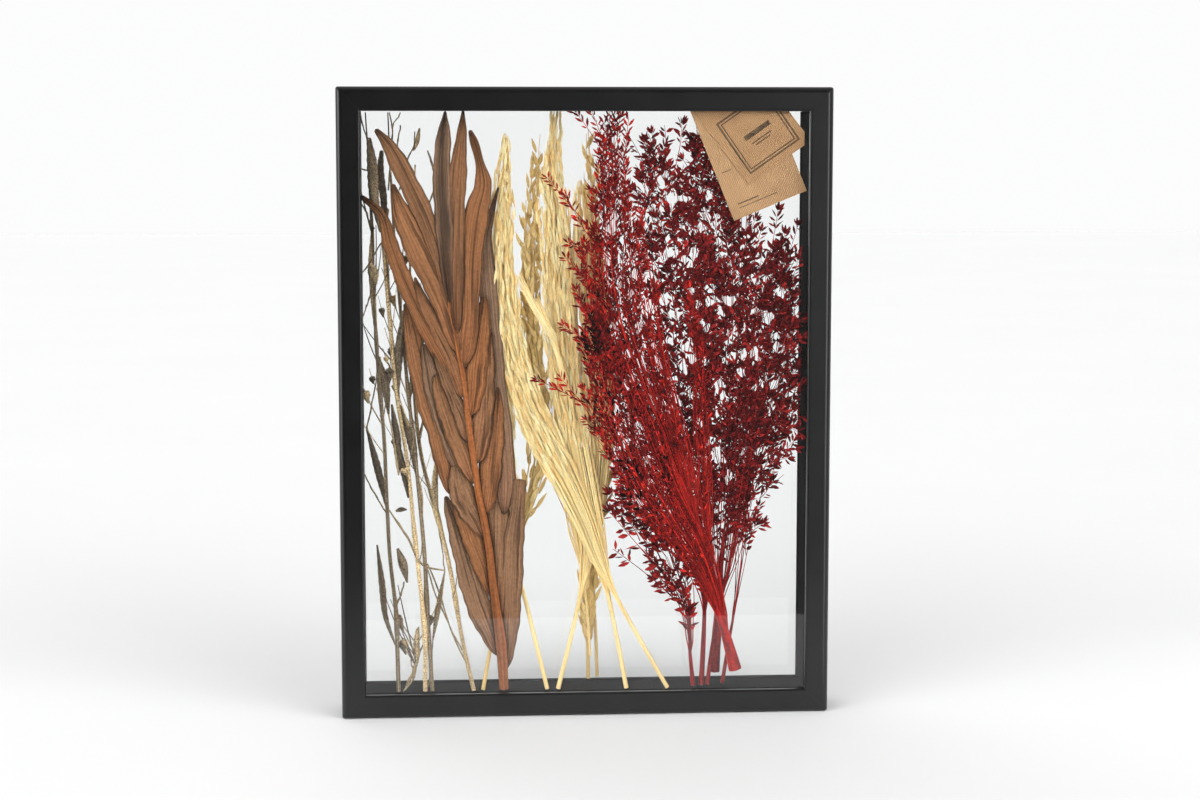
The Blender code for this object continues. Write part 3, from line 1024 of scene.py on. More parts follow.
LEAVES: dict[str, tuple[float, float, Keys]] = {
    "leaf_top_left": (9, 9, (
        (-85.6, 265.3, 2.8), (-87.4, 290.5, 5), (-89.7, 323.1, 5.7), (-90.1, 354.4, 5.3), (-88.7, 373, 3.8),
        (-88, 384.2, 0.9))),
    "leaf_top_right": (9.6, 9.2, (
        (-81.3, 245.6, 2.8), (-81.8, 276, 5), (-81.6, 313.7, 5.3), (-79.5, 354.4, 5), (-77.5, 373, 2.8),
        (-76.8, 384.9, 0.8))),
    "leaf_left_1": (10.6, 9.4, (
        (-85.7, 261.4, 2.8), (-91.1, 289.2, 4.4), (-99.7, 315.6, 6), (-109, 335.6, 6.3), (-117.6, 353.1, 5.7),
        (-124.9, 365.6, 3.8), (-131.1, 373, 1.4))),
    "leaf_left_2": (11.4, 9.4, (
        (-80.1, 233.4, 4.1), (-85.7, 252.5, 6.6), (-93.1, 272.7, 7.5), (-103, 293.6, 8.5),
        (-111.7, 311.8, 7.5), (-117.2, 325.6, 5), (-120.8, 338.8, 1.3))),
    "leaf_left_3": (12.2, 9.4, (
        (-77.8, 205.3, 3.8), (-81.5, 220.6, 5.7), (-87.1, 234, 4.7), (-93.3, 246.7, 5), (-99.5, 258.8, 5),
        (-104.5, 270.2, 3.1), (-107.5, 280.3, 0.9))),
    "leaf_left_4": (14.2, 11, (
        (-85.9, 219.2, 1.9), (-91.5, 230, 4.4), (-98.4, 243.4, 5), (-105.8, 258.7, 5), (-112, 272.6, 5.3),
        (-117.5, 286.5, 5.3), (-123.1, 302.3, 4.7), (-128.5, 320.5, 3.1), (-140.3, 331.2, 1.4))),
    "leaf_left_5": (11.6, 9.4, (
        (-74.7, 177.2, 3.8), (-77.8, 191.3, 5.7), (-82.8, 202.8, 4.4), (-87.8, 215, 4.1), (-92.2, 225.8, 3.1),
        (-95.9, 234.8, 1.3))),
    "leaf_left_6": (12.8, 9.4, (
        (-71.4, 150, 2.2), (-75.4, 161, 5.3), (-81.1, 177.1, 6.6), (-86.7, 193.8, 6.6), (-91, 206.6, 5.7),
        (-94.1, 218.1, 3.1))),
    "leaf_left_7": (16.4, 15, (
        (-85.7, 141.9, 3.1), (-88.8, 157.4, 5.7), (-93.7, 180.6, 6.9), (-99.3, 199.9, 7.5),
        (-104.2, 218.4, 6.9), (-109.1, 240.1, 5.7), (-113.3, 263.6, 1.9))),
    "leaf_left_8": (15, 13, (
        (-74.9, 145.9, 4.4), (-79.2, 161.4, 6.9), (-86.1, 178.2, 6.3), (-91.7, 194.9, 6.3),
        (-96.1, 210.2, 6.3), (-99.1, 224.3, 5), (-102.2, 237.7, 1.9))),
    "leaf_left_9": (13, 10.5, (
        (-65.5, 115.1, 1.9), (-69.9, 125.5, 6.3), (-75, 135.2, 8.2), (-78.7, 144.3, 8.5), (-80.6, 152.7, 6.9),
        (-82.4, 160.4, 3.8))),
    "leaf_left_10": (14.6, 11.5, (
        (-61.1, 77.1, 2.2), (-64.9, 92.8, 5.7), (-70.6, 110.4, 6.9), (-76.2, 127.2, 6.9), (-80.6, 139.6, 5),
        (-83.1, 147.3, 1.9))),
    "leaf_left_11": (16.6, 13, (
        (-56.1, 37.4, 3.1), (-62.5, 54.5, 6.9), (-69.4, 72.9, 8.2), (-75.7, 95.1, 7.5), (-81.4, 116, 6),
        (-86.4, 131.6, 3.8), (-88.9, 140, 1.3))),
    "leaf_right_1": (11, 9.4, (
        (-76.7, 224.5, 4.1), (-75.7, 237.9, 6.6), (-73.7, 252.4, 6), (-72.3, 290.3, 6.9), (-68.3, 323, 7.5),
        (-64.5, 338.7, 5.7), (-66.9, 354.3, 2.5), (-70, 365.6, 2.8), (-72.4, 372.4, 1.3))),
    "leaf_right_2": (12, 9.4, (
        (-72.7, 193.8, 4.1), (-71.4, 207.8, 6.6), (-70.1, 223.1, 7.9), (-68.1, 237.7, 6.9),
        (-65.8, 252.3, 5.3), (-64.1, 267.5, 1.9))),
    "leaf_right_3": (13, 9.4, (
        (-69.4, 162.9, 4.1), (-67.7, 177, 6.6), (-65.7, 193, 7.2), (-64.4, 212.1, 6.6), (-62.4, 229.3, 4.7),
        (-61.1, 245.2, 1.9))),
    "leaf_right_4": (16, 13, (
        (-51.9, 130, 4.1), (-50.6, 150.7, 6.6), (-51.8, 170, 6.3), (-54.2, 195.7, 6), (-56.7, 218.2, 5.7),
        (-58.5, 237.3, 6), (-60.9, 265.9, 6), (-62.7, 290, 5.3), (-62.6, 307.1, 3.8), (-58.7, 322.8, 1.9),
        (-54.9, 336.7, 0.6))),
    "leaf_right_5": (13.8, 10, (
        (-64.4, 130.5, 4.1), (-62.1, 147.9, 6.6), (-60.1, 164.6, 7.2), (-57.5, 183.2, 5.7),
        (-56.2, 199.2, 3.8), (-55.5, 210.1, 1.3))),
    "leaf_right_6": (14.8, 11, (
        (-55.4, 61.3, 3.1), (-56.6, 79.6, 5.7), (-56.6, 99.1, 7.9), (-55.8, 118.6, 8.2), (-55.8, 136, 6.9),
        (-55.1, 150.9, 3.8), (-54.4, 162.5, 1.3))),
    "leaf_right_7": (12.6, 11, (
        (-51.1, 29, 2.5), (-49.1, 49.9, 5.3), (-47.1, 78, 6.3), (-46, 107.2, 6.6), (-43.7, 129.1, 5),
        (-42.1, 151.1, 4.1))),
}
SPIKE_STALK: Keys = (
    (-52.6, 10, 16.2, 3), (-54.7, 10, 48.6, 3.4), (-57.5, 10, 69.5, 2.8), (-59.9, 10, 89, 2.4),
    (-61.8, 10, 107.8, 2.3), (-64.9, 10, 125.9, 2.2), (-68.3, 10, 142.1, 2.1), (-70.4, 10, 159.4, 2),
    (-73.1, 10, 177.4, 2), (-75.3, 10, 197.2, 1.9), (-77.7, 10, 217.6, 1.8), (-81.4, 10, 238, 1.6),
    (-85, 10, 258.3, 1.5), (-87.5, 10, 276.6, 1.4), (-90.5, 10, 294.9, 1.2), (-92.9, 10, 309.3, 1),
)


@dataclass
class LeafSpike:
    """The stalk on the left with long leaves folded up against it."""

    leaves: dict[str, tuple[float, float, Keys]]
    stalk: Keys

    def build(self, leaf_finish: Material, stalk_finish: Material) -> None:
        """Makes the stalk and its leaves.

        Args:
            leaf_finish: the leaves' material.
            stalk_finish: the stalk's material.
        """
        rows = smooth_path(self.stalk, 70)
        shape = tubes(rows[None, :, :3], rows[None, :, 3], np.array([0.5]), 14, 0.8)
        add_piece("leaf_spike_stalk", shape, stalk_finish)
        for seed, (name, (plane, base_depth, keys)) in enumerate(self.leaves.items(), LEAF_SEED):
            leaf = Leaf(name, plane, keys, 0.9 if "left" in name else 0.7, base_depth)
            add_piece(name, leaf.shape(seed), leaf_finish, 75.0)




# ---------------------------------------------------------------- stems, pods, grass and sprays


class Bunch:
    """The outline that a bunch of stems fills: a middle line, with a half width at each place along it."""

    def __init__(self, keys: Keys, count: int = 240) -> None:
        """Works out the middle line.

        Args:
            keys: rows of across, depth, height and half width, from the foot up.
            count: number of places worked out.
        """
        self.rows = smooth_path(keys, count)
        self.grid = np.linspace(0, 1, count)
        self.heading = unit(np.gradient(self.rows[:, :3], axis=0))
        self.side, _ = cross_frames(self.heading)
        self.length = float(np.linalg.norm(np.diff(self.rows[:, :3], axis=0), axis=1).sum())

    def column(self, values: np.ndarray, s: np.ndarray) -> np.ndarray:
        """Reads a column of values along the bunch.

        Args:
            values: one for each place worked out.
            s: places from 0 (foot) to 1 (top).

        Returns:
            A value for each place.
        """
        return np.interp(s, self.grid, values)

    def foot_half(self, s: np.ndarray) -> np.ndarray:
        """The half width of the undivided foot: never wider than where it starts.

        Args:
            s: places along the bunch.

        Returns:
            A half width for each place.
        """
        return np.minimum(self.column(self.rows[:, 3], s), self.rows[0, 3])

    def place(self, s: np.ndarray, u: np.ndarray, depth: np.ndarray, shift: np.ndarray) -> np.ndarray:
        """Points inside the outline.

        Args:
            s: place along the bunch, from 0 to 1.
            u: place across it, from -1 (left edge) to 1 (right edge).
            depth: millimetres behind the middle line.
            shift: millimetres to the right besides.

        Returns:
            The points, one for each s.
        """
        middle = np.stack([self.column(self.rows[:, k], s) for k in range(3)], -1)
        side = np.stack([self.column(self.side[:, k], s) for k in range(3)], -1)
        half = np.maximum(self.column(self.rows[:, 3], s), 0)
        return middle + side * (u * half + shift)[..., None] + BACKWARDS * np.asarray(depth)[..., None]

    def stems(
        self,
        rng: np.random.Generator,
        s0: np.ndarray,
        s1: np.ndarray,
        u: np.ndarray,
        depth: float,
        sway: float,
        count: int,
    ) -> np.ndarray:
        """Centrelines that part from one place, then follow the bunch, spreading as it widens.

        Args:
            rng: random numbers.
            s0: (n,) where each begins.
            s1: (n,) where each ends.
            u: (n,) place across the bunch.
            depth: millimetres to either side of the middle depth.
            sway: millimetres of sideways sway.
            count: points on each.

        Returns:
            (n, count, 3) points.
        """
        t = np.linspace(0, 1, count)[None]
        s = s0[:, None] + (s1 - s0)[:, None] * t
        phase = rng.uniform(0, 2 * math.pi, (3, len(u), 1))
        shift = sway * (np.sin(9 * s + phase[0]) + 0.5 * np.sin(27 * s + phase[1])) * np.sqrt(t)
        deep = depth * rng.uniform(-1, 1, (len(u), 1)) * (0.4 + 0.6 * t) + 0.3 * np.sin(14 * s + phase[2])
        return self.place(s, u[:, None] * np.minimum(1, 0.2 + 5 * t), deep, shift)


def even_spread(rng: np.random.Generator, count: int) -> np.ndarray:
    """Numbers that fill a range evenly in any run of them: multiples of the golden ratio, jittered.

    Args:
        rng: random numbers.
        count: how many.

    Returns:
        (count,) numbers from -1 to 1.
    """
    steps = (np.arange(count) * GOLDEN + rng.uniform(0, 1)) % 1.0
    return steps * 2 - 1 + rng.normal(0, 0.04, count)


def fan(tangent: np.ndarray, angle: np.ndarray, tilt: np.ndarray) -> np.ndarray:
    """Directions turned from each tangent by an angle in the plane of the panes, then tilted in depth.

    Args:
        tangent: (..., 3) unit directions.
        angle: (...) radians, positive to the right.
        tilt: (...) radians backwards.

    Returns:
        (..., 3) unit directions.
    """
    side, back = cross_frames(tangent)
    flat = np.cos(angle)[..., None] * tangent + np.sin(angle)[..., None] * side
    return unit(np.cos(tilt)[..., None] * flat + np.sin(tilt)[..., None] * back)


# Grey stalks on the left: keys of the stalk, its pods, and its twigs.
POD_STALKS: dict[str, tuple[Keys, Keys, Keys]] = {
    "pod_stalk_1": (
        ((-120, 8, 16, 1.4), (-121, 11, 64, 1.3), (-125, 14, 109, 1.2), (-128, 17, 171, 1.2),
         (-131, 20, 221, 1.1), (-134, 22, 272, 0.9), (-135, 24, 316, 0.8), (-138, 26, 384, 0.4)),
        (((-122, 10, 46, 0.5), (-128, 12, 64, 1.5), (-130, 13.5, 84, 1.9), (-133, 14.5, 110, 0.5)),
         ((-129, 21, 309, 0.9), (-133, 23, 332, 2.8), (-134, 24, 351, 3), (-136, 25, 368, 1.3)),
         ((-132, 20.7, 237, 0.5), (-134, 22, 266, 1.6), (-135, 23, 290, 1.8), (-134, 23.6, 312, 0.8)),
         ((-126, 15, 131, 0.5), (-132, 16.5, 158, 2.2), (-139, 17.5, 185, 0.6)),
         ((-132, 19, 276, 0.5), (-134, 19.5, 284, 3.1), (-136, 20, 290, 0.8))),
        (((-141, 24, 383, 0.4), (-135, 24, 360, 0.5), (-132, 24, 348, 0.6)),
         ((-141, 20, 349, 0.4), (-138, 21, 348, 0.5), (-134, 22, 347, 0.5)),
         ((-141, 20, 327, 0.5), (-137, 21, 319, 0.5), (-133, 22, 311, 0.6)),
         ((-141, 18, 283, 0.4), (-134, 20, 293, 0.5), (-129, 22, 302, 0.5)),
         ((-141, 17, 255, 0.4), (-137, 18, 266, 0.5), (-134, 19, 276, 0.6)),
         ((-142, 14, 158, 0.5), (-133, 14, 141, 0.5), (-127, 14, 131, 0.6)),
         ((-139, 17, 185, 0.5), (-135, 18, 203, 0.5), (-130, 19, 230, 0.5)),
         ((-116, 15, 86, 0.5), (-118, 14, 78, 0.6), (-121, 12, 71, 0.7))),
    ),
    "pod_stalk_2": (
        ((-103, 8, 16, 1.4), (-104, 12, 58, 1.3), (-107, 15, 91, 1.3), (-112, 19, 146, 1.2),
         (-119, 22, 202, 1.2), (-124, 25, 253, 1.1), (-127, 28, 310, 1.0), (-128, 30, 359, 0.9)),
        (((-114, 16, 85, 0.5), (-117, 17, 98, 2.6), (-120, 17.5, 107, 0.8)),
         ((-127, 26, 311, 1), (-127, 28, 329, 2), (-129, 29, 348, 2.1), (-128, 29.5, 360, 1.1)),
         ((-125, 20, 193, 0.6), (-127, 21, 212, 2.5), (-131, 22, 230, 0.6)),
         ((-119, 22, 154, 0.5), (-120, 23, 176, 2.5), (-123, 24, 199, 0.6)),
         ((-119, 22, 205, 0.6), (-118, 23, 234, 2.5), (-115, 24, 259, 0.8)),
         ((-121, 18.5, 131, 0.6), (-118, 18.5, 132, 1.4), (-114, 18.5, 132, 0.5))),
        (((-123, 30, 384, 0.4), (-121, 30, 374, 0.5), (-122, 30, 360, 0.6), (-124, 30, 335, 0.6)),
         ((-116, 31, 384, 0.4), (-119, 30.5, 379, 0.4), (-121, 30, 374, 0.4)),
         ((-125, 20, 193, 0.5), (-122, 20, 177, 0.6), (-119, 20, 154, 0.6)),
         ((-125, 17, 132, 0.5), (-113, 16, 113, 0.8), (-103, 15, 96, 0.8), (-90, 14, 93, 0.5)),
         ((-126, 28, 310, 0.8), (-124, 27, 265, 0.8), (-119, 24, 215, 0.8)),
         ((-117, 9, 16, 0.5), (-111, 11, 23, 0.6), (-108, 13, 35, 0.6))),
    ),
    "pod_stalk_3": (
        ((-98.6, 8, 16, 1.4), (-101, 13.5, 58, 1.4), (-103, 18, 99, 1.3), (-107, 23.5, 150, 1.2),
         (-112, 27.5, 201, 1.1), (-117, 30.5, 259, 1.0), (-121, 32.5, 316, 0.8), (-124, 34, 384, 0.4)),
        (((-113, 22, 139, 0.5), (-116, 23, 157, 2), (-120, 24, 177, 0.5)),
         ((-107, 23.5, 150, 0.6), (-111, 25.5, 176, 2.6), (-118, 27, 198, 0.8)),
         ((-112, 27.5, 201, 0.6), (-107, 28.5, 226, 2.6), (-102, 29.3, 246, 0.9)),
         ((-104, 34, 374, 0.6), (-106, 34, 365, 1.4), (-108, 34, 360, 0.6))),
        (((-107, 33, 372, 0.4), (-107, 33, 365, 0.4), (-112, 32, 354, 0.6), (-117, 31, 335, 0.6)),
         ((-116, 32, 376, 0.5), (-118, 32, 364, 0.5), (-118, 31, 354, 0.6)),
         ((-99, 30, 196, 0.4), (-103, 29, 186, 0.4), (-106, 27, 173, 0.5)),
         ((-98, 14, 48, 0.4), (-99, 13, 32, 0.5), (-101, 12, 18, 0.6)),
         ((-103, 27, 156, 0.6), (-98, 26, 137, 0.6), (-93, 24, 117, 0.8))),
    ),
    "pod_stalk_4": (
        ((-72, 8, 16, 1.4), (-80, 13, 52, 1.3), (-87, 20, 95, 1.3), (-95, 26, 129, 1.3),
         (-104, 31.5, 162, 1.2), (-109, 34, 214, 1.2), (-111, 35.4, 265, 0.9), (-107, 35.8, 351, 0.5)),
        (((-98, 16, 47, 0.4), (-95, 18, 65, 1.6), (-90, 19, 92, 0.4)),
         ((-104, 25, 127, 0.3), (-105, 25.5, 138, 1.4), (-105, 26, 147, 0.4)),
         ((-94, 24, 124, 0.5), (-96, 25, 143, 1.9), (-94, 26, 169, 0.6))),
        (((-101, 17, 97, 0.5), (-93, 15, 76, 0.5), (-86, 13, 54, 0.5), (-77, 12, 34, 0.6)),
         ((-103, 17, 99, 0.5), (-97, 15, 80, 0.5), (-88, 14, 59, 0.5), (-79, 12.5, 41, 0.5)),
         ((-85, 15, 75, 0.5), (-83, 17, 83, 0.4), (-81, 19, 92, 0.4)),
         ((-90, 20, 92, 0.4), (-92, 24, 108, 0.4), (-95, 25, 124, 0.4)),
         ((-104, 25, 127, 0.3), (-104, 22, 111, 0.4), (-106, 19, 99, 0.4)),
         ((-99, 33, 360, 0.5), (-96, 33, 351, 0.9), (-94, 33, 340, 0.6), (-101, 32, 321, 0.6)),
         ((-92, 28, 175, 0.4), (-94, 27, 156, 0.4), (-98, 26, 137, 0.5))),
    ),
    "pod_stalk_5": (
        ((-116, 12, 16, 0.7), (-108, 14.4, 34, 0.9), (-108, 15.6, 48, 0.9), (-107, 17, 56, 0.6)),
        (((-108, 14.4, 34, 0.9), (-108.5, 15.2, 44, 1.9), (-108, 16, 55, 0.7)),),
        (((-110, 13.6, 28, 0.4), (-112, 13, 34, 0.4), (-113, 13, 40, 0.3)),),
    ),
}


@dataclass
class PodStalk:
    """A thin dried stalk with ribbed seed pods and a few bare twigs."""

    name: str
    keys: Keys
    pods: Keys
    twigs: Keys
    shade: float
    wisps: int = 9
    wisp_points: int = 24
    pod_points: int = 40

    def wisp_lines(self, rng: np.random.Generator, rows: np.ndarray) -> np.ndarray:
        """Thin side shoots that leave the stalk at a narrow angle and curve upwards.

        Args:
            rng: random numbers.
            rows: (n, 4) places along the stalk.

        Returns:
            (wisps, wisp_points, 3) points.
        """
        foot = rows[(rng.uniform(0.34, 0.82, self.wisps) * len(rows)).astype(int), :3]
        turn = np.radians(rng.uniform(8, 38, self.wisps) * rng.choice([-1, 1], self.wisps))
        length = rng.uniform(18, 60, self.wisps)
        up = np.array([[-0.08, 0.0, 1.0]]) * np.ones((self.wisps, 1))
        way = fan(unit(up), turn, np.radians(rng.normal(0, 3, self.wisps)))
        middle = foot + way * (length * 0.5)[:, None]
        end = middle + unit(way + up * rng.uniform(0, 1.5, (self.wisps, 1))) * (length * 0.5)[:, None]
        return curves(foot, middle, end, self.wisp_points)

    def build(self, finish: Material, seed: int) -> None:
        """Makes the stalk, pods and twigs as one piece.

        Args:
            finish: their material.
            seed: sets the kinks.
        """
        rng = np.random.default_rng(seed)

        def kinked(rows: np.ndarray, size: float) -> np.ndarray:
            """Shifts rows by a slow random walk, and thickens them a little here and there.

            Args:
                rows: (n, 4) points and half widths.
                size: millimetres of shift.

            Returns:
                The same rows, changed in place.
            """
            t = np.linspace(0, 1, len(rows))[:, None]
            wave = rng.normal(0, size, (6, 3)) * [1, 0.5, 0]
            turns = np.sin(t * math.pi * (np.arange(6) * 2 + 2)) / (np.arange(6) + 1)
            ends = np.minimum(1, np.minimum(t, 1 - t) * 12)
            rows[:, :3] += turns @ wave * ends
            knot = np.exp(-(((t - rng.uniform(0.1, 0.9, 5)) * 45) ** 2)).sum(axis=1)
            rows[:, 3] *= 1 + 0.35 * knot
            return rows

        rows = kinked(smooth_path(self.keys, 120), 0.5)
        shapes = [tubes(rows[None, :, :3], rows[None, :, 3], np.array([self.shade]), 8)]
        twigs = np.stack([kinked(smooth_path(keys, 28), 0.25) for keys in self.twigs])
        shade = self.shade * 0.5 + rng.uniform(0, 0.25, len(twigs))
        shapes.append(tubes(twigs[..., :3], twigs[..., 3], shade, 5))
        wisps = self.wisp_lines(rng, rows)
        radii = np.linspace(0.42, 0.2, self.wisp_points)[None] * rng.uniform(0.8, 1.4, (self.wisps, 1))
        shapes.append(tubes(wisps, radii, rng.uniform(0, 1, self.wisps), 5))
        # Every other wisp carries a pod, which hangs from its outer half.
        bearing = wisps[::2]
        ends = bearing[:, -1] + (bearing[:, -1] - bearing[:, -4]) * rng.uniform(-6, 0, 2)[0]
        t = np.linspace(0, 1, self.pod_points)
        pods = np.stack([smooth_path(keys, self.pod_points) for keys in self.pods])
        hung = curves(bearing[:, 12], bearing[:, 18], ends, self.pod_points)
        width = 0.4 + rng.uniform(1.2, 2.4, (len(hung), 1)) * np.sin(t * math.pi)[None]
        pods = np.concatenate([pods, np.concatenate([hung, width[..., None]], axis=2)])
        seeds = 1 + 0.07 * np.sin(t * 2 * math.pi * 11 + rng.uniform(0, 6, (len(pods), 1)))
        shade = rng.uniform(0.0, 0.9, len(pods))
        shapes.append(tubes(pods[..., :3], pods[..., 3] * seeds, shade, 16, 0.6, rib=0.1))
        add_piece(self.name, inside(joined(shapes)), finish, 60.0)


GRASS: dict[str, Keys] = {
    "grass_front_1": (
        (-24.9, 9, 16, 1.4), (-36, 18.2, 62.3, 1.4), (-42.9, 20.2, 91.5, 1.4), (-46, 20.6, 124, 2.2),
        (-49.1, 20.6, 156.5, 3.8), (-50.9, 20.6, 188.7, 4.4), (-51.4, 20.6, 220.9, 5.7),
        (-53.2, 20.6, 252.8, 8.8), (-53.7, 20.6, 284.7, 9.4), (-52.9, 20.6, 316.3, 8.8),
        (-51.6, 20.6, 342.9, 5.7), (-50.2, 20.6, 371.1, 1.3)),
    "grass_front_2": (
        (52.5, 7.6, 16, 1.4), (35, 8.7, 46.9, 1.5), (18.3, 9.9, 78.2, 1.9), (9.4, 11.8, 98.9, 5),
        (0.5, 13.9, 123.3, 7.5), (-10.9, 16, 149, 9.4), (-23.5, 17.9, 172.7, 10.7), (-35, 18.2, 198.5, 10.1),
        (-43.2, 18.2, 224.2, 8.8), (-47.6, 18.2, 249.8, 7.5), (-49.4, 18.2, 275.3, 6.3),
        (-49.9, 18.2, 300.6, 4.4), (-50.4, 18.2, 325.9, 1.9)),
    "grass_front_3": (
        (26, 8, 16, 1.5), (22.2, 9.8, 37.1, 1.5), (15.3, 12.5, 72.6, 1.9), (9.6, 14.5, 98.4, 5.7),
        (4.6, 16.8, 124.1, 8.2), (-2.3, 19.4, 156.2, 10.1), (-9.8, 22.6, 201.1, 10.1),
        (-15.5, 22.6, 246.1, 10.7), (-18, 22.6, 284.4, 10.7), (-21.1, 22.6, 316.2, 10.1),
        (-23.6, 22.6, 338.4, 6.9), (-24.8, 22.6, 360.4, 2.5)),
    "grass_front_4": (
        (-17.9, 9, 16, 1.5), (-9.8, 14, 46.5, 1.5), (-3, 18.3, 75, 1.9), (1.7, 21, 100.6, 5),
        (5.1, 23.9, 129.4, 8.2), (8.4, 24.6, 168.3, 10.1), (7.1, 24.6, 213.6, 12.6), (3.2, 24.6, 258.6, 12.6),
        (0, 24.6, 297, 11.3), (-1.9, 24.6, 325.6, 6.3), (-2.5, 24.6, 341.4, 2.5)),
    "grass_front_5": (
        (3.9, 25, 34, 0.8), (2.6, 25.4, 53.8, 2.2), (1.3, 25.7, 70.2, 3.8), (-1.2, 26.1, 96.4, 6.3),
        (-7, 26.6, 142.2, 8.2), (-12.8, 26.6, 187.7, 8.8), (-14, 26.6, 239.3, 9.4), (-15.8, 26.6, 290.6, 9.4),
        (-18.3, 26.6, 328.7, 8.2), (-19.6, 26.6, 360.4, 6.3), (-17, 26.6, 386.9, 3.8)),
    "grass_back_1": (
        (-66.1, 9, 16, 1.3), (-61.2, 16.7, 40.1, 1.3), (-52.5, 24, 71.3, 1.3), (-43.9, 27.2, 106.6, 1.6),
        (-34, 28.6, 138.9, 5.7), (-27.5, 28.6, 168.1, 7.5), (-26.2, 28.6, 194.1, 6.3),
        (-30.6, 28.6, 232.8, 5), (-35.6, 28.6, 271.3, 3.8), (-36.8, 28.6, 303.3, 1.9),
        (-36.7, 28.6, 328.7, 1)),
    "grass_back_2": (
        (3.1, 33, 17, 1.3), (3.1, 33, 42.3, 3.1), (3.8, 33, 68.8, 5), (6.3, 32.1, 101.9, 5.7),
        (11.4, 30.8, 147.9, 7.5), (12.7, 30.8, 187, 7.5), (10.7, 30.8, 232.4, 7.5), (8.1, 30.8, 277.4, 6.9),
        (5.5, 30.8, 315.8, 6.3), (3.6, 30.8, 354, 5), (2.4, 30.8, 373, 1.6)),
    "grass_back_3": (
        (9.2, 36.2, 17.5, 1.1), (7.2, 36, 61.5, 1.9), (1.3, 35.2, 101.4, 3.8), (-15, 34, 147.7, 6.3),
        (-31.1, 34, 187, 7.5), (-35.5, 34, 232.3, 8.8), (-33.4, 34, 277.4, 8.2), (-31.4, 34, 315.8, 6.3),
        (-29.4, 34, 347.6, 5), (-27.4, 34, 370.5, 1.6)),
}
# Straws that cross in front of the heads, each as start, middle and tip.
LOOSE_STRAWS: dict[str, Keys] = {
    "grass_front_1": (((-41.8, 17, 281), (-31.7, 16, 258.2), (-17.2, 15, 237.8)),),
    "grass_front_3": (((-31, 17, 265.7), (-18.4, 16, 242.8), (-12.1, 15, 207.1)),),
}


@dataclass
class GrassHead:
    """A grass plant: a straw that parts into fine branches, each hung with long husks, and loose straws."""

    name: str
    keys: Keys
    branches: int = 34
    parting: float = 0.17
    husks_from: float = 0.36
    gap: float = 6.2
    husk: float = 14.5
    husk_half: float = 0.85
    depth: float = 2.2
    spread: float = 8.0
    strays: Keys = ()
    stray_straws: int = 11
    branch_points: int = 48

    def build(self, finish: Material, seed: int) -> None:
        """Makes the straw, its branches and its husks as one piece.

        Args:
            finish: their material.
            seed: sets the spread.
        """
        rng = np.random.default_rng(seed)
        bunch = Bunch(self.keys)
        s = np.linspace(0, self.parting + 0.2, 60)[None]
        none = np.zeros_like(s)
        half = bunch.foot_half(s) * (1 - 0.6 * (s / s.max()) ** 3)
        shapes = [tubes(bunch.place(s, none, none, none), half, np.array([0.6]), 9)]
        count = self.branches
        u = even_spread(rng, count) * 0.9
        top = 1 - 0.42 * rng.uniform(0, 1, count) ** 1.6
        top[:3] = (1.0, 0.97, 0.93)
        u[:3] *= 0.3
        low = self.parting * 0.9
        lines = bunch.stems(rng, np.full(count, low), top, u, self.depth, 0.35, self.branch_points)
        radii = np.linspace(0.55, 0.22, self.branch_points)[None] * rng.uniform(0.8, 1.15, (count, 1))
        shapes.append(tubes(lines, radii, rng.uniform(0.35, 0.9, count), 5))
        # The husks are spaced evenly along their branch, and stand at either side of it.
        reach = (top - self.husks_from) * bunch.length
        each = np.maximum((reach / self.gap).astype(int), 2)
        which = np.repeat(np.arange(count), each)
        step = np.concatenate([np.arange(n) for n in each])
        share = (step + rng.uniform(-0.3, 0.3, len(step)) + 0.5) / each[which]
        start = (self.husks_from - low) / (top[which] - low)
        t = np.clip(start + (1 - start) * share - 0.02, 0, 0.985) * (self.branch_points - 1)
        at = np.minimum(t.astype(int), self.branch_points - 2)
        near, far = lines[which, at], lines[which, at + 1]
        base = near + (far - near) * (t - at)[:, None]
        side = np.where(rng.uniform(0, 1, len(step)) < 0.5, 1, -1)
        angle = np.radians(side * rng.uniform(0.15, 1, len(step)) * self.spread)
        tilt = np.radians(rng.normal(0, 4, len(step)))
        heading = fan(unit(far - near), angle, tilt)
        base = base + rng.normal(0, 0.9, base.shape) * [1, 0.6, 0]
        length = self.husk * rng.uniform(0.75, 1.2, len(step)) * (1 - 0.25 * share)
        half = self.husk_half * rng.uniform(0.75, 1.15, len(step))
        shade = np.clip(rng.normal(0.6, 0.26, len(step)), 0, 1)
        roll = rng.normal(0, 0.2, len(step))
        stations = (0.06, 0.2, 0.45, 0.72, 0.92)
        husks = blades(base, heading, length, half, roll, shade, stations, 0.8, 0.2, 0.3, 0.02)
        shapes.append(husks)
        if self.strays:
            ends = np.repeat(np.array(self.strays, float).reshape(-1, 3, 3), self.stray_straws, axis=0)
            ends = ends + rng.normal(0, 1.0, ends.shape) * [1, 0.3, 1.6]
            flat = np.sin(np.linspace(0.25, math.pi - 0.1, 30))[None] * rng.uniform(0.5, 0.95, (len(ends), 1))
            loose = curves(ends[:, 0], ends[:, 1], ends[:, 2], 30)
            shapes.append(tubes(loose, flat, rng.uniform(0.4, 1, len(ends)), 6, 0.5))
        add_piece(self.name, inside(joined(shapes)), finish, 60.0)


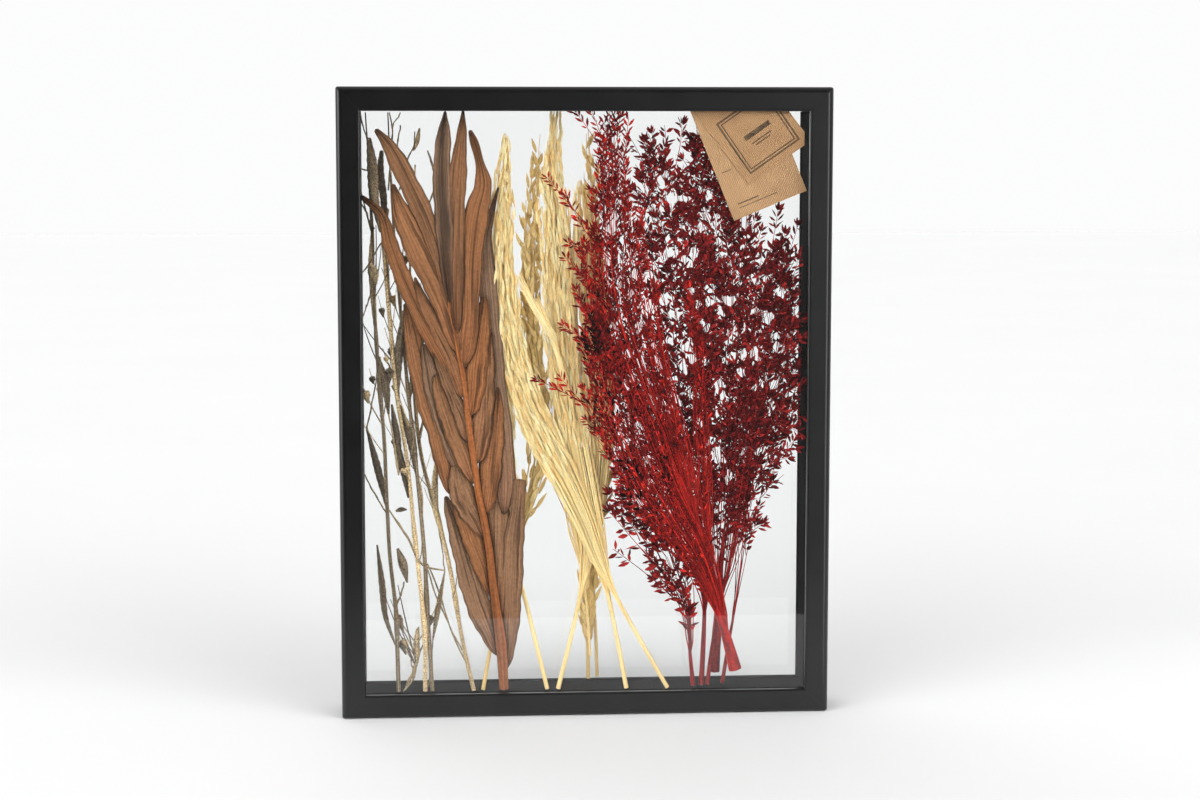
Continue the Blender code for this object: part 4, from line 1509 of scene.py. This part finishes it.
RED_SPRAYS: dict[str, Keys] = {
    "red_spray_1": (
        (96.7, 9.5, 26.8, 4.2), (92.1, 9.3, 44, 3.9), (86.8, 9.2, 61.1, 4.4), (79.5, 9, 80.2, 7.5),
        (69, 8.7, 101.9, 12), (54.7, 8.3, 123.6, 16.4), (39.2, 7.9, 149.6, 20.8), (27.6, 7.9, 176.8, 22),
        (16.7, 7.9, 202.5, 20.8), (11, 7.8, 228.1, 16.4), (6.5, 7.8, 252.3, 11.3), (2.7, 7.8, 272.6, 3.1)),
    "red_spray_2": (
        (78.5, 12.6, 94.6, 3.1), (69.9, 12.1, 122.8, 7.5), (58.8, 11.5, 155.4, 12.6), (46.5, 11.5, 189, 15.7),
        (33.6, 11.4, 221.2, 20.8), (23.3, 11.4, 253.2, 25.8), (18.2, 11.4, 284.9, 25.8),
        (18.1, 11.4, 316.5, 19.5), (16.2, 11.3, 348, 12.6), (15.6, 11.3, 373.1, 8.8),
        (17.4, 11.3, 388.1, 6.9)),
    "red_spray_3": (
        (81.5, 15.8, 97.2, 2.5), (78, 15.1, 133.3, 4.4), (75.9, 15, 165.8, 5.7), (73.8, 15, 198.1, 5.7),
        (72.3, 14.9, 230.2, 6), (69, 14.9, 257.8, 6.3), (67, 14.9, 278.2, 3.1)),
}
BURGUNDY_SPRAYS: dict[str, Keys] = {
    "burgundy_spray_1": (
        (69.8, 12, 16, 1.5), (68.1, 15.2, 35.2, 1.9), (66.9, 17, 56.6, 3.8), (63, 17.6, 76.2, 8.2),
        (54.5, 17.6, 96, 15.1), (45.3, 17.6, 117, 19.5), (38.2, 17.6, 136.6, 19.5), (32.3, 17.6, 154.8, 15.1),
        (27.8, 17.6, 169.1, 7.5)),
    "burgundy_spray_2": (
        (75.2, 14, 16, 1.8), (77, 19.3, 40.8, 2), (77.8, 21.5, 68.7, 5), (75, 21.6, 96.3, 11.3),
        (69, 21.6, 135.6, 18.2), (65.6, 21.6, 174.7, 20.8), (64.8, 21.6, 213.5, 22.6),
        (62.7, 21.6, 252.2, 24.5), (58.7, 21.6, 290.6, 25.2), (52.1, 21.6, 325.6, 22.6),
        (45, 21.6, 350.9, 17), (40.5, 21.6, 370.5, 5.7)),
    "burgundy_spray_3": (
        (85.1, 26, 22, 3.5), (86.3, 26, 42.5, 3.5), (88.1, 26, 67.7, 6.3), (89.2, 26, 95.3, 12),
        (92.9, 26, 134.7, 18.2), (95.3, 26, 173.9, 23.3), (95, 26, 212.9, 27), (94.1, 26, 251.6, 28.3),
        (91.3, 26, 290.2, 28.3), (84.7, 26, 325.4, 25.2), (76.8, 26, 354, 17.6), (70.9, 26, 376.8, 7.5)),
    "burgundy_spray_4": (
        (79.1, 14, 16, 1.4), (83.4, 23.7, 39.7, 1.6), (89.3, 30.2, 68.1, 2.5), (95, 30.2, 94.5, 6.9),
        (101.9, 30.2, 134, 13.8), (110.2, 30.2, 173.2, 20.8), (119, 30.2, 212.3, 22),
        (121.9, 30.2, 251.2, 20.1), (124.3, 30.2, 284.7, 13.8), (127.3, 30.2, 307.9, 5.7)),
    "burgundy_spray_5": (
        (89.4, 18, 16, 1.3), (94.8, 30.8, 38.1, 1.4), (100.2, 33.8, 67.3, 1.5), (103.4, 34.4, 89.7, 3.8),
        (106.5, 34.4, 118.8, 8.8), (112.2, 34.4, 146.4, 13.8), (120.6, 34.4, 172.6, 18.2),
        (126.9, 34.4, 198.7, 18.9), (129.9, 34.4, 231.3, 16.4), (129.6, 34.4, 263.8, 13.8),
        (127.4, 34.4, 288.3, 9.4), (126, 34.4, 303.8, 5)),
}
# Sprigs that stand clear of the masses, each as start, middle and tip.
STRAYS: dict[str, Keys] = {
    "red_spray_1": (
        ((9, 8.5, 233), (-2, 8, 243), (-14, 7.5, 250)), ((8, 8.5, 183), (0, 8, 199), (-16, 7.5, 217)),
        ((0, 8.5, 199), (-13, 8, 208), (-31, 7.5, 216)), ((17, 9, 177), (9, 8.5, 182), (0, 8, 190))),
    "red_spray_2": (
        ((9, 9, 305), (-7, 8.5, 322), (-24, 8, 343)), ((17, 9, 290), (0, 8.5, 304), (-12, 8, 332)),
        ((24, 9, 348), (25, 8.5, 364), (27, 8, 381)), ((13, 9, 354), (7, 8.5, 367), (-6, 8, 384)),
        ((13, 9, 361), (9, 8.5, 372), (4, 8, 384)), ((9, 9, 291), (0, 8.5, 298), (-11, 8, 302)),
        ((9, 9, 276), (0, 8.5, 279), (-13, 8, 293))),
    "burgundy_spray_1": (
        ((59, 18, 71), (42, 18, 88), (18, 18, 105)), ((54, 18, 84), (36, 18, 105), (16, 18, 129)),
        ((42, 18, 110), (30, 18, 127), (17, 18, 141)), ((64, 18, 67), (52, 18, 76), (44, 18, 86))),
    "burgundy_spray_2": (
        ((45, 22, 338), (39, 22, 351), (30, 22, 367)), ((45, 22, 338), (45, 22, 354), (43, 22, 371)),
        ((51, 22, 341), (53, 22, 360), (51, 22, 376)), ((55, 22, 341), (62, 22, 360), (62, 22, 377))),
    "burgundy_spray_3": (((68, 27, 348), (74, 27, 360), (72, 27, 373)),),
    "burgundy_spray_4": (
        ((120, 30, 271), (132, 30, 289), (138, 30, 312)), ((120, 30, 271), (132, 30, 277), (138, 30, 295)),
        ((117, 30, 283), (123, 30, 303), (125, 30, 322)), ((124, 10, 243), (132, 9, 247), (138, 8.5, 255)),
        ((124, 10, 237), (132, 9, 238), (139, 8.5, 242)), ((126, 30, 258), (134, 29, 272), (138, 28, 290))),
    "burgundy_spray_5": (
        ((118, 34, 140), (125, 34, 145), (131, 34, 150)), ((107, 34, 110), (113, 34, 115), (118, 34, 118)),
        ((122, 10, 205), (131, 9, 207), (138, 8.5, 212)), ((122, 10, 195), (131, 9, 194), (139, 8.5, 190)),
        ((122, 10, 187), (130, 9, 185), (138, 8.5, 180)), ((116, 22, 163), (124, 18, 169), (135, 10, 170)),
        ((111, 22, 152), (118, 18, 160), (130, 12, 164)), ((118, 34, 182), (130, 34, 196), (136, 34, 210))),
}


@dataclass(frozen=True)
class Openings:
    """Gaps that the leaves of every spray keep clear of: upright ellipses scattered over the right half."""

    count: int = 450
    low: tuple[float, float] = (0.0, 90.0)
    high: tuple[float, float] = (141.0, 391.0)
    half: tuple[float, float] = (0.3, 2.1)
    seed: int = 5

    def keeps(self, points: np.ndarray, margin: float, share: float) -> np.ndarray:
        """Finds the leaves that stay clear of the openings.

        Args:
            points: (leaves, places, 3) places on each leaf.
            margin: millimetres that a place must stand away.
            share: the share of the openings that count.

        Returns:
            (leaves,) true where every place is clear.
        """
        rng = np.random.default_rng(self.seed)
        middle = rng.uniform(self.low, self.high, (self.count, 2))
        half = rng.uniform(*self.half, (self.count, 2)) * [1.0, 1.4]
        used = rng.uniform(0, 1, self.count) < share
        middle, half = middle[used], half[used] + margin
        away = (points[:, :, None, [0, 2]] - middle) / half
        return (np.square(away).sum(axis=-1) > 1).all(axis=(1, 2))


@dataclass(frozen=True)
class SprigStyle:
    """How a spray branches and leafs. Lengths are in millimetres and angles in degrees."""

    sprig: tuple[float, float]
    nodes: int
    leaf: tuple[float, float]
    leaf_half: float
    leaf_angle: float
    tip_leaves: int
    splay: float
    tilt: float
    radius: float
    depth: float
    stalk: float = 0.8


@dataclass
class LeafySpray:
    """A spray: a bare foot that parts into stems, and leafy sprigs that spread from them."""

    name: str
    keys: Keys
    strays: Keys
    style: SprigStyle
    stems: int
    sprigs: int
    parting: float
    leafy_from: float
    stem_shade: tuple[float, float] = (0.2, 0.6)
    stem_swell: float = 1.5
    stem_lean: float = 0.0
    stem_forward: float = 0.0
    low_share: float = 1.0
    open_share: float = 1.0
    stem_points: int = 40
    sprig_points: int = 8

    def sprig_lines(self, rng: np.random.Generator, bunch: Bunch) -> np.ndarray:
        """Control points of each sprig's curve.

        The tips are spread over the outline by area, thinner low down by low_share.

        Args:
            rng: random numbers.
            bunch: the spray's outline.

        Returns:
            (sprigs, 3, 3) points.
        """
        count, style = self.sprigs, self.style
        grid = np.linspace(self.leafy_from, 1, 200)
        rising = self.low_share + (1 - self.low_share) * np.clip((grid - self.leafy_from) / 0.3, 0, 1)
        weight = np.cumsum((bunch.column(bunch.rows[:, 3], grid) + 1.0) * rising)
        tip = np.interp((np.arange(count) + 0.5) / count, weight / weight[-1], grid)
        tip = np.clip(tip + rng.normal(0, 0.01, count), self.leafy_from, 1.0)
        half = np.maximum(bunch.column(bunch.rows[:, 3], tip), 0.5)
        inner = np.maximum(half - 0.3 * style.leaf[1], 0.2 * half) / half
        u = np.clip(even_spread(rng, count) + rng.normal(0, 0.06, count), -1.15, 1.15) * inner
        deep = rng.uniform(-1, 1, count) * style.depth
        none = np.zeros(count)
        last = bunch.place(tip, u, deep, none)
        ahead = np.stack([bunch.column(bunch.heading[:, k], tip) for k in range(3)], -1)
        turn = np.radians(u * style.splay + rng.normal(0, 11, count))
        way = fan(unit(ahead), turn, np.radians(rng.normal(0, 8, count)))
        length = rng.uniform(*style.sprig, count)
        middle = last - way * (length * 0.6)[:, None]
        start = np.maximum(tip - length * 1.12 / bunch.length, self.parting * 0.85)
        first = bunch.place(start, u * 0.7, deep * 0.6 + 0.6, none)
        extra = np.array(self.strays, float).reshape(-1, 3, 3)
        return np.concatenate([np.stack([first, middle, last], axis=1), extra])

    def stem_shapes(self, rng: np.random.Generator, bunch: Bunch) -> list[Shape]:
        """The foot, and the stems that it parts into.

        Args:
            rng: random numbers.
            bunch: the spray's outline.

        Returns:
            The two shapes.
        """
        s = np.linspace(0, self.parting + 0.12, 70)[None]
        none = np.zeros_like(s)
        half = bunch.foot_half(s) * (1 - 0.93 * (s / s.max()) ** 1.5)
        foot = tubes(bunch.place(s, none, none, none), half, np.array([0.45]), 12)
        radius, count = self.style.radius, self.stems
        top = rng.uniform(0.4, 0.9, count)
        low = np.full(count, self.parting * 0.8)
        u = even_spread(rng, count) * 0.85 + self.stem_lean
        lines = bunch.stems(rng, low, top, u, self.style.depth * 0.7, 0.6, self.stem_points)
        lines[..., 1] -= self.stem_forward * np.linspace(0, 1, self.stem_points)[None] ** 0.5
        swell = np.linspace(self.stem_swell, 0.6, self.stem_points)[None] * rng.uniform(0.7, 1.25, (count, 1))
        return [foot, tubes(lines, radius * swell, rng.uniform(*self.stem_shade, count), 5)]

    def leaf_shape(self, rng: np.random.Generator, lines: np.ndarray) -> Shape:
        """Pairs of leaves along the outer part of every sprig, and a small fan at its tip.

        Args:
            rng: random numbers.
            lines: (sprigs, 3, 3) control points.

        Returns:
            The leaves as one shape.
        """
        style, count = self.style, len(lines)
        start, middle, tip = lines[:, None, 0], lines[:, None, 1], lines[:, None, 2]
        length = np.linalg.norm(lines[:, 2] - lines[:, 0], axis=1)[:, None]
        reach = np.minimum(0.9, rng.uniform(*style.sprig, (count, 1)) / length)
        t = 1 - reach * (1 - (np.arange(style.nodes) + 0.2) / style.nodes)
        t = np.clip(t + rng.normal(0, 0.012, (count, style.nodes)), 0.02, 0.98)[..., None]
        nodes = (1 - t) ** 2 * start + 2 * t * (1 - t) * middle + t**2 * tip
        along = unit((1 - t) * (middle - start) + t * (tip - middle))
        shape = (count, style.nodes, 2)
        angle = np.radians(style.leaf_angle) * np.array([1.0, -1.0]) * rng.uniform(0.55, 1.35, shape)
        angle += np.radians(rng.normal(0, 8, shape))
        tilt = np.radians(rng.normal(0, style.tilt, shape))
        way = fan(np.repeat(along[:, :, None], 2, axis=2), angle, tilt)
        spot = np.repeat(nodes[:, :, None], 2, axis=2)
        fans = (count, style.tip_leaves)
        spokes = np.radians(np.linspace(-30, 30, style.tip_leaves) + rng.normal(0, 9, fans))
        end = unit(lines[:, 2] - lines[:, 1])
        tilt = np.radians(rng.normal(0, 14, fans))
        tip_way = fan(np.repeat(end[:, None], style.tip_leaves, axis=1), spokes, tilt)
        tip_spot = np.repeat(lines[:, None, 2], style.tip_leaves, axis=1) - end[:, None] * 0.8
        way = np.concatenate([way.reshape(-1, 3), tip_way.reshape(-1, 3)])
        spot = np.concatenate([spot.reshape(-1, 3), tip_spot.reshape(-1, 3)])
        total = len(way)
        size = rng.uniform(*style.leaf, total)
        half = style.leaf_half * size / style.leaf[1] * rng.uniform(0.85, 1.2, total)
        shade = rng.beta(1.1, 1.3, total)
        spot = spot + way * style.stalk
        places = spot[:, None] + way[:, None] * (size[:, None] * [0.0, 0.5, 1.0])[..., None]
        kept = Openings().keeps(places, 0.5, self.open_share)
        spot, way, size, half, shade = (values[kept] for values in (spot, way, size, half, shade))
        roll = rng.normal(0, 0.8, len(spot))
        stations = (0.16, 0.5, 0.82)
        return blades(spot, way, size, half, roll, shade, stations, belly=0.9, fold=0.45, bend=0.16)

    def build(self, finish: Material, slot: Slot, seed: int) -> None:
        """Makes the stems, sprigs and leaves as one piece.

        Args:
            finish: their material.
            slot: not used.
            seed: sets the spread.
        """
        rng = np.random.default_rng(seed)
        bunch = Bunch(self.keys)
        lines = self.sprig_lines(rng, bunch)
        shapes = self.stem_shapes(rng, bunch)
        radii = self.style.radius * np.linspace(1, 0.5, self.sprig_points)[None] * np.ones((len(lines), 1))
        shade = rng.uniform(*self.stem_shade, len(lines))
        sprigs = curves(lines[:, 0], lines[:, 1], lines[:, 2], self.sprig_points)
        shapes.append(tubes(sprigs, radii, shade, 4))
        shapes.append(self.leaf_shape(rng, lines))
        add_piece(self.name, inside(joined(shapes)), finish, 60.0)


# ---------------------------------------------------------------- room


@dataclass(frozen=True)
class LightBox:
    """A soft light at a distance: its direction, and how far from that, in degrees, it starts and is full."""

    towards: tuple[float, float, float]
    outer: float
    inner: float
    strength: float


@dataclass
class Studio:
    """A pale table against a white room, soft lights all round, and the camera."""

    seen: float = 0.98
    ambient: float = 0.26
    boxes: tuple[LightBox, ...] = (
        LightBox((-0.64, -0.72, 0.28), 36.0, 16.0, 5.6),
        LightBox((0.68, -0.68, 0.30), 36.0, 16.0, 4.4),
        LightBox((0.0, 0.0, 1.0), 60.0, 20.0, 0.9),
        LightBox((-0.3, 0.9, 0.35), 50.0, 20.0, 1.4),
    )

    gleams: tuple[LightBox, ...] = (
        LightBox((0.45, -0.88, -0.02), 13.5, 3.0, 7.5),
        LightBox((-0.93, -0.3, 0.15), 24.0, 8.0, 5.0),
    )
    table_front: float = -0.334
    table_half_width: float = 5.0
    table_back: float = 7.0
    table_level: float = -0.0002
    eye: tuple[float, float, float] = (-0.1036, -1.5748, 0.3773)
    yaw: float = 4.129
    pitch: float = 6.373
    roll: float = -0.026
    lens: float = 74.33

    def table(self) -> None:
        """Makes the table top, which isn't part of the object."""
        edge, near, far, level = self.table_half_width, self.table_front, self.table_back, self.table_level
        corners = [(-edge, near, level), (edge, near, level), (edge, far, level), (-edge, far, level)]
        mesh = bpy.data.meshes.new("table_top")
        mesh.from_pydata(corners, [], [(0, 1, 2, 3)])
        graph = NodeGraph("pale_table")
        cloud = graph.noise(graph.object_point(), 3.0, 2.0)
        graph.set_colour(graph.ramp(cloud, ((0.3, (0.645, 0.645, 0.645)), (0.7, (0.655, 0.655, 0.655)))))
        graph.shader.inputs["Roughness"].default_value = 0.9
        graph.shader.inputs["Specular IOR Level"].default_value = 0.1
        mesh.materials.append(graph.material)
        top = bpy.data.objects.new("table_top", mesh)
        bpy.context.scene.collection.objects.link(top)

    def room(self) -> None:
        """Makes the world.

        The eye meets plain white. Light that falls on a surface comes from a grey room with soft boxes at the
        left, at the right and overhead. What a polished surface mirrors is dark straight ahead and paler to
        the sides.
        """
        world = bpy.data.worlds.new("studio_room")
        bpy.context.scene.world = world
        world.use_nodes = True
        world.cycles.sampling_method = "NONE"
        tree = world.node_tree
        tree.nodes.clear()

        def node(kind: str, inputs: dict, **settings: object) -> bpy.types.Node:
            """Adds a node.

            Args:
                kind: the node type without its ShaderNode prefix.
                inputs: values or sockets, by the name or number of the input.
                **settings: properties of the node.

            Returns:
                The node.
            """
            made = tree.nodes.new(f"ShaderNode{kind}")
            for key, value in settings.items():
                setattr(made, key, value)
            for key, value in inputs.items():
                if isinstance(value, Socket):
                    tree.links.new(value, made.inputs[key])
                else:
                    made.inputs[key].default_value = value
            return made

        def maths(operation: str, *values: object) -> Socket:
            """Adds a Math node.

            Args:
                operation: its operation.
                *values: its values or sockets.

            Returns:
                The output socket.
            """
            return node("Math", dict(enumerate(values)), operation=operation).outputs[0]

        def ease(value: object, low: float, high: float, to_low: float, to_high: float) -> Socket:
            """Eases from one level to another while a value goes from low to high.

            Args:
                value: the value.
                low: where it starts.
                high: where it ends.
                to_low: the level at the start.
                to_high: the level at the end.

            Returns:
                The output socket.
            """
            inputs = {0: value, 1: low, 2: high, 3: to_low, 4: to_high}
            return node("MapRange", inputs, interpolation_type="SMOOTHSTEP").outputs[0]

        direction = node("TexCoord", {}).outputs["Generated"]

        def with_boxes(level: object, boxes: tuple[LightBox, ...]) -> object:
            """Adds soft boxes to a level of light.

            Args:
                level: the level without them.
                boxes: the boxes.

            Returns:
                The level with them.
            """
            for box in boxes:
                axis = Vector(box.towards).normalized()
                facing = node("VectorMath", {0: direction, 1: axis}, operation="DOT_PRODUCT").outputs["Value"]
                outer, inner = math.cos(math.radians(box.outer)), math.cos(math.radians(box.inner))
                level = maths("ADD", level, ease(facing, outer, inner, 0.0, box.strength))
            return level

        lit = with_boxes(self.ambient, self.boxes)
        side = node("SeparateXYZ", {0: direction}).outputs["Y"]
        mirrored = with_boxes(ease(side, -0.97, 0.2, 0.02, 0.75), self.gleams)
        path = node("LightPath", {}).outputs
        behind_glass = maths("GREATER_THAN", path["Transmission Depth"], 0.5)
        scattered = maths("GREATER_THAN", path["Diffuse Depth"], 0.5)
        glossy = maths("GREATER_THAN", path["Glossy Depth"], 0.5)
        lighting = maths("MAXIMUM", scattered, maths("MULTIPLY", behind_glass, glossy))
        first = node("Mix", {0: glossy, 2: self.seen, 3: mirrored}).outputs[0]
        strength = node("Mix", {0: lighting, 2: first, 3: lit}).outputs[0]
        back = node("Background", {"Color": (0.995, 0.998, 1.0, 1), "Strength": strength})
        node("OutputWorld", {"Surface": back.outputs[0]})

    def soft_box(self, name: str, place: tuple[float, float, float], size: float, watts: float) -> None:
        """Adds a square soft light that faces the middle of the frame.

        Args:
            name: its name.
            place: where it stands, in metres.
            size: its side in metres.
            watts: its power.
        """
        light = bpy.data.lights.new(name, "AREA")
        light.shape = "SQUARE"
        light.size = size
        light.energy = watts
        box = bpy.data.objects.new(name, light)
        box.location = place
        aim = Vector((0, 0, 0.22)) - Vector(place)
        box.rotation_euler = aim.to_track_quat("-Z", "Y").to_euler()
        box.visible_camera = False
        bpy.context.scene.collection.objects.link(box)

    def camera(self) -> None:
        """Stands the camera in front of the frame, turned by its yaw, pitch and roll."""
        yaw, pitch, roll = (math.radians(v) for v in (self.yaw, self.pitch, self.roll))
        ahead = Vector((math.sin(yaw) * math.cos(pitch), math.cos(yaw) * math.cos(pitch), -math.sin(pitch)))
        right = Vector((math.cos(yaw), -math.sin(yaw), 0))
        down = ahead.cross(right)
        cos, sin = math.cos(roll), math.sin(roll)
        right, down = cos * right + sin * down, cos * down - sin * right
        turn = Matrix((right, -down, -ahead)).transposed().to_4x4()
        data = bpy.data.cameras.new("camera")
        data.lens = self.lens
        data.sensor_width = 36.0
        camera = bpy.data.objects.new("camera", data)
        camera.matrix_world = Matrix.Translation(self.eye) @ turn
        bpy.context.scene.collection.objects.link(camera)
        bpy.context.scene.camera = camera

    def build(self) -> None:
        """Makes the whole room."""
        bpy.context.scene.view_settings.view_transform = "Standard"
        self.table()
        self.room()
        self.soft_box("soft_box_right", (1.1, -1.1, 0.95), 0.7, 2.0)
        self.camera()


# ---------------------------------------------------------------- this frame's finishes and plans


LACQUER = BlackPaint(
    "satin_black_lacquer", (0.003, 0.003, 0.0033), (0.005, 0.005, 0.0053), (0.26, 0.34), 0.00003
)
MATT_BLACK = BlackPaint(
    "matt_black_bars", (0.002, 0.002, 0.002), (0.004, 0.004, 0.004), (0.85, 0.95), 0.00004, 0.08
)
GLASS = PictureGlass("picture_glass", (0.99, 1.0, 0.995), 1.45)
BORDERED_KRAFT = KraftPaper(
    "bordered_kraft", (0.27, 0.132, 0.053), (0.71, 0.425, 0.208), (0.012, 0.010, 0.009),
    (18.6, 0.6, 16.7, 0.42),
    ((-9.5, 9.5, 1.0, 1.6), (-7.5, 7.5, -4.0, 0.4), (-5.5, 5.5, -6.0, 0.4)),
)
RULED_KRAFT = KraftPaper(
    "ruled_kraft", (0.29, 0.158, 0.07), (0.81, 0.49, 0.25), (0.04, 0.03, 0.02), (),
    ((-17.0, -3.0, 0.0, 0.45), (-17.0, 9.0, -2.6, 0.28), (-19.0, -13.0, 22.0, 0.3)),
)
# The leaves' colour holds painted shade: in folds, at the edges and in hollows between leaves.
BROWN_LEAF = DriedPlant(
    "brown_leaf", (0.28, 0.162, 0.096), (0.305, 0.149, 0.070), (0.35, 0.136, 0.047), (0.37, 0.11, 0.034), 0.3,
    streaks=24.0, streak_tone=0.34, fold_shade=4.5, edge_shade=0.45, mottle=0.12, roughness=0.55,
    ridge_depth=0.0004, cranny_shade=0.95, cranny_shade_reach=0.0038, cranny_shade_local=False, cranny_shade_span=(0.58, 0.95),
)
ORANGE_STALK = DriedPlant(
    "orange_stalk", (0.33, 0.10, 0.03), (0.38, 0.125, 0.035), (0.44, 0.16, 0.05), (0.28, 0.09, 0.04), 0.4,
    streaks=8.0, streak_tone=0.4, mottle=0.2, roughness=0.5,
)
SPECKLED_POD = DriedPlant(
    "speckled_pod", (0.13, 0.10, 0.07), (0.28, 0.21, 0.13), (0.72, 0.53, 0.29), (0.2, 0.14, 0.09), 0.2,
    mottle_scale=1300.0, mottle=0.65, roughness=0.75, streaks=6.0, streak_tone=0.3,
)
# Painted shade in hollows between husks.
CREAM_HUSK = DriedPlant(
    "cream_husk", (0.82, 0.50, 0.175), (1.0, 0.755, 0.34), (1.0, 0.89, 0.51), (0.90, 0.59, 0.24), 0.4,
    streaks=5.0, streak_tone=0.13, cranny_shade=0.24, cranny_shade_reach=0.0025, mottle=0.05, roughness=0.6,
    ridge_depth=0.0001,
)
# Husks of the heads further back: a darker tan copy of the cream husks, painted shade for lying deeper in the
# frame, with more painted hollow shade.
SHADED_TAN_HUSK = replace(
    CREAM_HUSK, name="shaded_tan_husk", dark=(0.58, 0.37, 0.12), middle=(0.76, 0.53, 0.21), light=(0.90, 0.70, 0.32),
    base=(0.66, 0.44, 0.17), streak_tone=0.16, cranny_shade=0.4, roughness=0.65,
)
# Painted shade in hollows between leaves and stems; the burgundy copy keeps it.
RED_DYED = DriedPlant(
    "red_dyed", (0.12, 0.003, 0.004), (0.40, 0.011, 0.009), (0.80, 0.030, 0.016), (0.42, 0.026, 0.018), 0.5,
    mottle=0.35, mottle_scale=700.0, cranny_shade=0.93, cranny_shade_reach=0.003, roughness=0.5, shine=0.08,
    streaks=5.0, streak_tone=0.5,
)
BURGUNDY_DYED = replace(
    RED_DYED, name="burgundy_dyed", dark=(0.10, 0.004, 0.005), middle=(0.28, 0.012, 0.013),
    light=(0.54, 0.028, 0.022), base=(0.18, 0.012, 0.01), base_share=0.3, shine=0.06,
)

CLIPPED_TAG = PaperTag(
    "clipped_tag", ((103, 339), (62, TOP)), ((103, 339), (138, 363.5), (138, 372), (123, TOP)), 5.75, 0.35,
    (108.5, 372.0), 35.0,
)
RECTANGULAR_TAG = PaperTag(
    "rectangular_tag", ((94, 316), (62.9, TOP)), ((94, 316), (140, 335), (116.8, TOP)), 6.45, 1.3,
    (112.0, 333.0), 22.4,
)

POD_SHADES: dict[str, float] = {
    "pod_stalk_1": 0.35, "pod_stalk_2": 1.0, "pod_stalk_3": 0.5, "pod_stalk_4": 0.9, "pod_stalk_5": 0.7,
}

FRONT_HEAD = GrassHead("front", (), husks_from=0.46)
BACK_HEAD = GrassHead("back", (), branches=10, husk=13.0, husk_half=1.4, gap=8.0, spread=24.0)
# What sets one grass plant apart from the others.
GRASS_PLANS: dict[str, dict] = {
    "grass_front_1": {"husks_from": 0.36},
    "grass_back_2": {"parting": 0.03, "husks_from": 0.08, "branches": 15},
}

FINE = SprigStyle((16, 28), 7, (4.0, 6.2), 0.95, 32, 3, 18, 26, 0.3, 1.9)
LEAFY = SprigStyle((12, 22), 6, (4.2, 6.8), 1.15, 46, 5, 34, 28, 0.28, 2.8)
OPEN_LEAFY = SprigStyle((12, 20), 5, (5.0, 8.2), 1.45, 50, 5, 34, 26, 0.35, 2.8)
RED_SPRAY = LeafySpray(
    "red", (), (), FINE, 60, 140, 0.1, 0.26, (0.35, 0.9), stem_forward=1.6, open_share=0.4
)
BURGUNDY_SPRAY = LeafySpray(
    "burgundy", (), (), LEAFY, 12, 215, 0.16, 0.28, (0.3, 0.95), low_share=0.4, open_share=0.85
)
# What sets one spray apart from the others of its colour.
RED_PLANS: dict[str, dict] = {
    "red_spray_1": {"stem_lean": 0.25},
    "red_spray_2": {"sprigs": 185, "stem_lean": 0.15},
    "red_spray_3": {"sprigs": 30, "stems": 16},
}
BURGUNDY_PLANS: dict[str, dict] = {
    "burgundy_spray_1": {"style": OPEN_LEAFY, "sprigs": 44, "leafy_from": 0.26, "stems": 9},
    "burgundy_spray_2": {"low_share": 0.7},
    "burgundy_spray_3": {"sprigs": 300, "leafy_from": 0.27, "low_share": 0.7},
    "burgundy_spray_4": {"sprigs": 105, "leafy_from": 0.33, "stems": 7},
    "burgundy_spray_5": {"sprigs": 80, "leafy_from": 0.34, "stems": 5},
}


# ---------------------------------------------------------------- all together


def build_frame() -> None:
    """Makes the moulding and gives the bars and panes their finishes."""
    Moulding().build(LACQUER.material())
    rows, sides = ("spacer", "back_bead"), ("bottom", "top", "left", "right")
    dress(tuple(f"{row}_{side}" for row in rows for side in sides), MATT_BLACK.material())
    dress(("front_glass", "back_glass"), GLASS.material())


def build_tags() -> None:
    """Makes the two paper tags."""
    CLIPPED_TAG.build(BORDERED_KRAFT.material())
    RECTANGULAR_TAG.build(RULED_KRAFT.material())


def build_plants() -> None:
    """Makes the plants from left to right."""
    LeafSpike(LEAVES, SPIKE_STALK).build(BROWN_LEAF.material(), ORANGE_STALK.material())
    pod = SPECKLED_POD.material()
    for seed, (name, (keys, pods, twigs)) in enumerate(POD_STALKS.items(), POD_SEED):
        PodStalk(name, keys, pods, twigs, POD_SHADES[name]).build(pod, seed)
    cream, tan = CREAM_HUSK.material(), SHADED_TAN_HUSK.material()
    for seed, (name, keys) in enumerate(GRASS.items(), GRASS_SEED):
        # The back heads take the darker husks, painted shade for lying further back.
        kind, finish = (FRONT_HEAD, cream) if "front" in name else (BACK_HEAD, tan)
        plan = {"strays": LOOSE_STRAWS.get(name, ()), **GRASS_PLANS.get(name, {})}
        replace(kind, name=name, keys=keys, **plan).build(finish, seed)
    build_sprays(RED_SPRAY, RED_SPRAYS, RED_PLANS, RED_DYED, Slot.RED, RED_SEED)
    build_sprays(BURGUNDY_SPRAY, BURGUNDY_SPRAYS, BURGUNDY_PLANS, BURGUNDY_DYED, Slot.BURGUNDY, BURGUNDY_SEED)


def build_sprays(
    kind: LeafySpray,
    outlines: dict[str, Keys],
    plans: dict[str, dict],
    skin: DriedPlant,
    slot: Slot,
    seed: int,
) -> None:
    """Makes the sprays of one colour.

    Args:
        kind: a spray that holds what they have in common.
        outlines: the keys of each, by name.
        plans: what sets each apart, by name.
        skin: their finish.
        slot: the record's slot for their colour, handed on to each spray.
        seed: the first one's seed.
    """
    finish = skin.material()
    for number, (name, keys) in enumerate(outlines.items(), seed):
        strays = STRAYS.get(name, ())
        replace(kind, name=name, keys=keys, strays=strays, **plans[name]).build(finish, slot, number)


def main() -> None:
    """Builds the frame from the outside in, then the room."""
    logging.basicConfig(level=logging.INFO, format="%(message)s")
    build_frame()
    build_tags()
    build_plants()
    Studio().build()


if __name__ == "__main__":
    main()
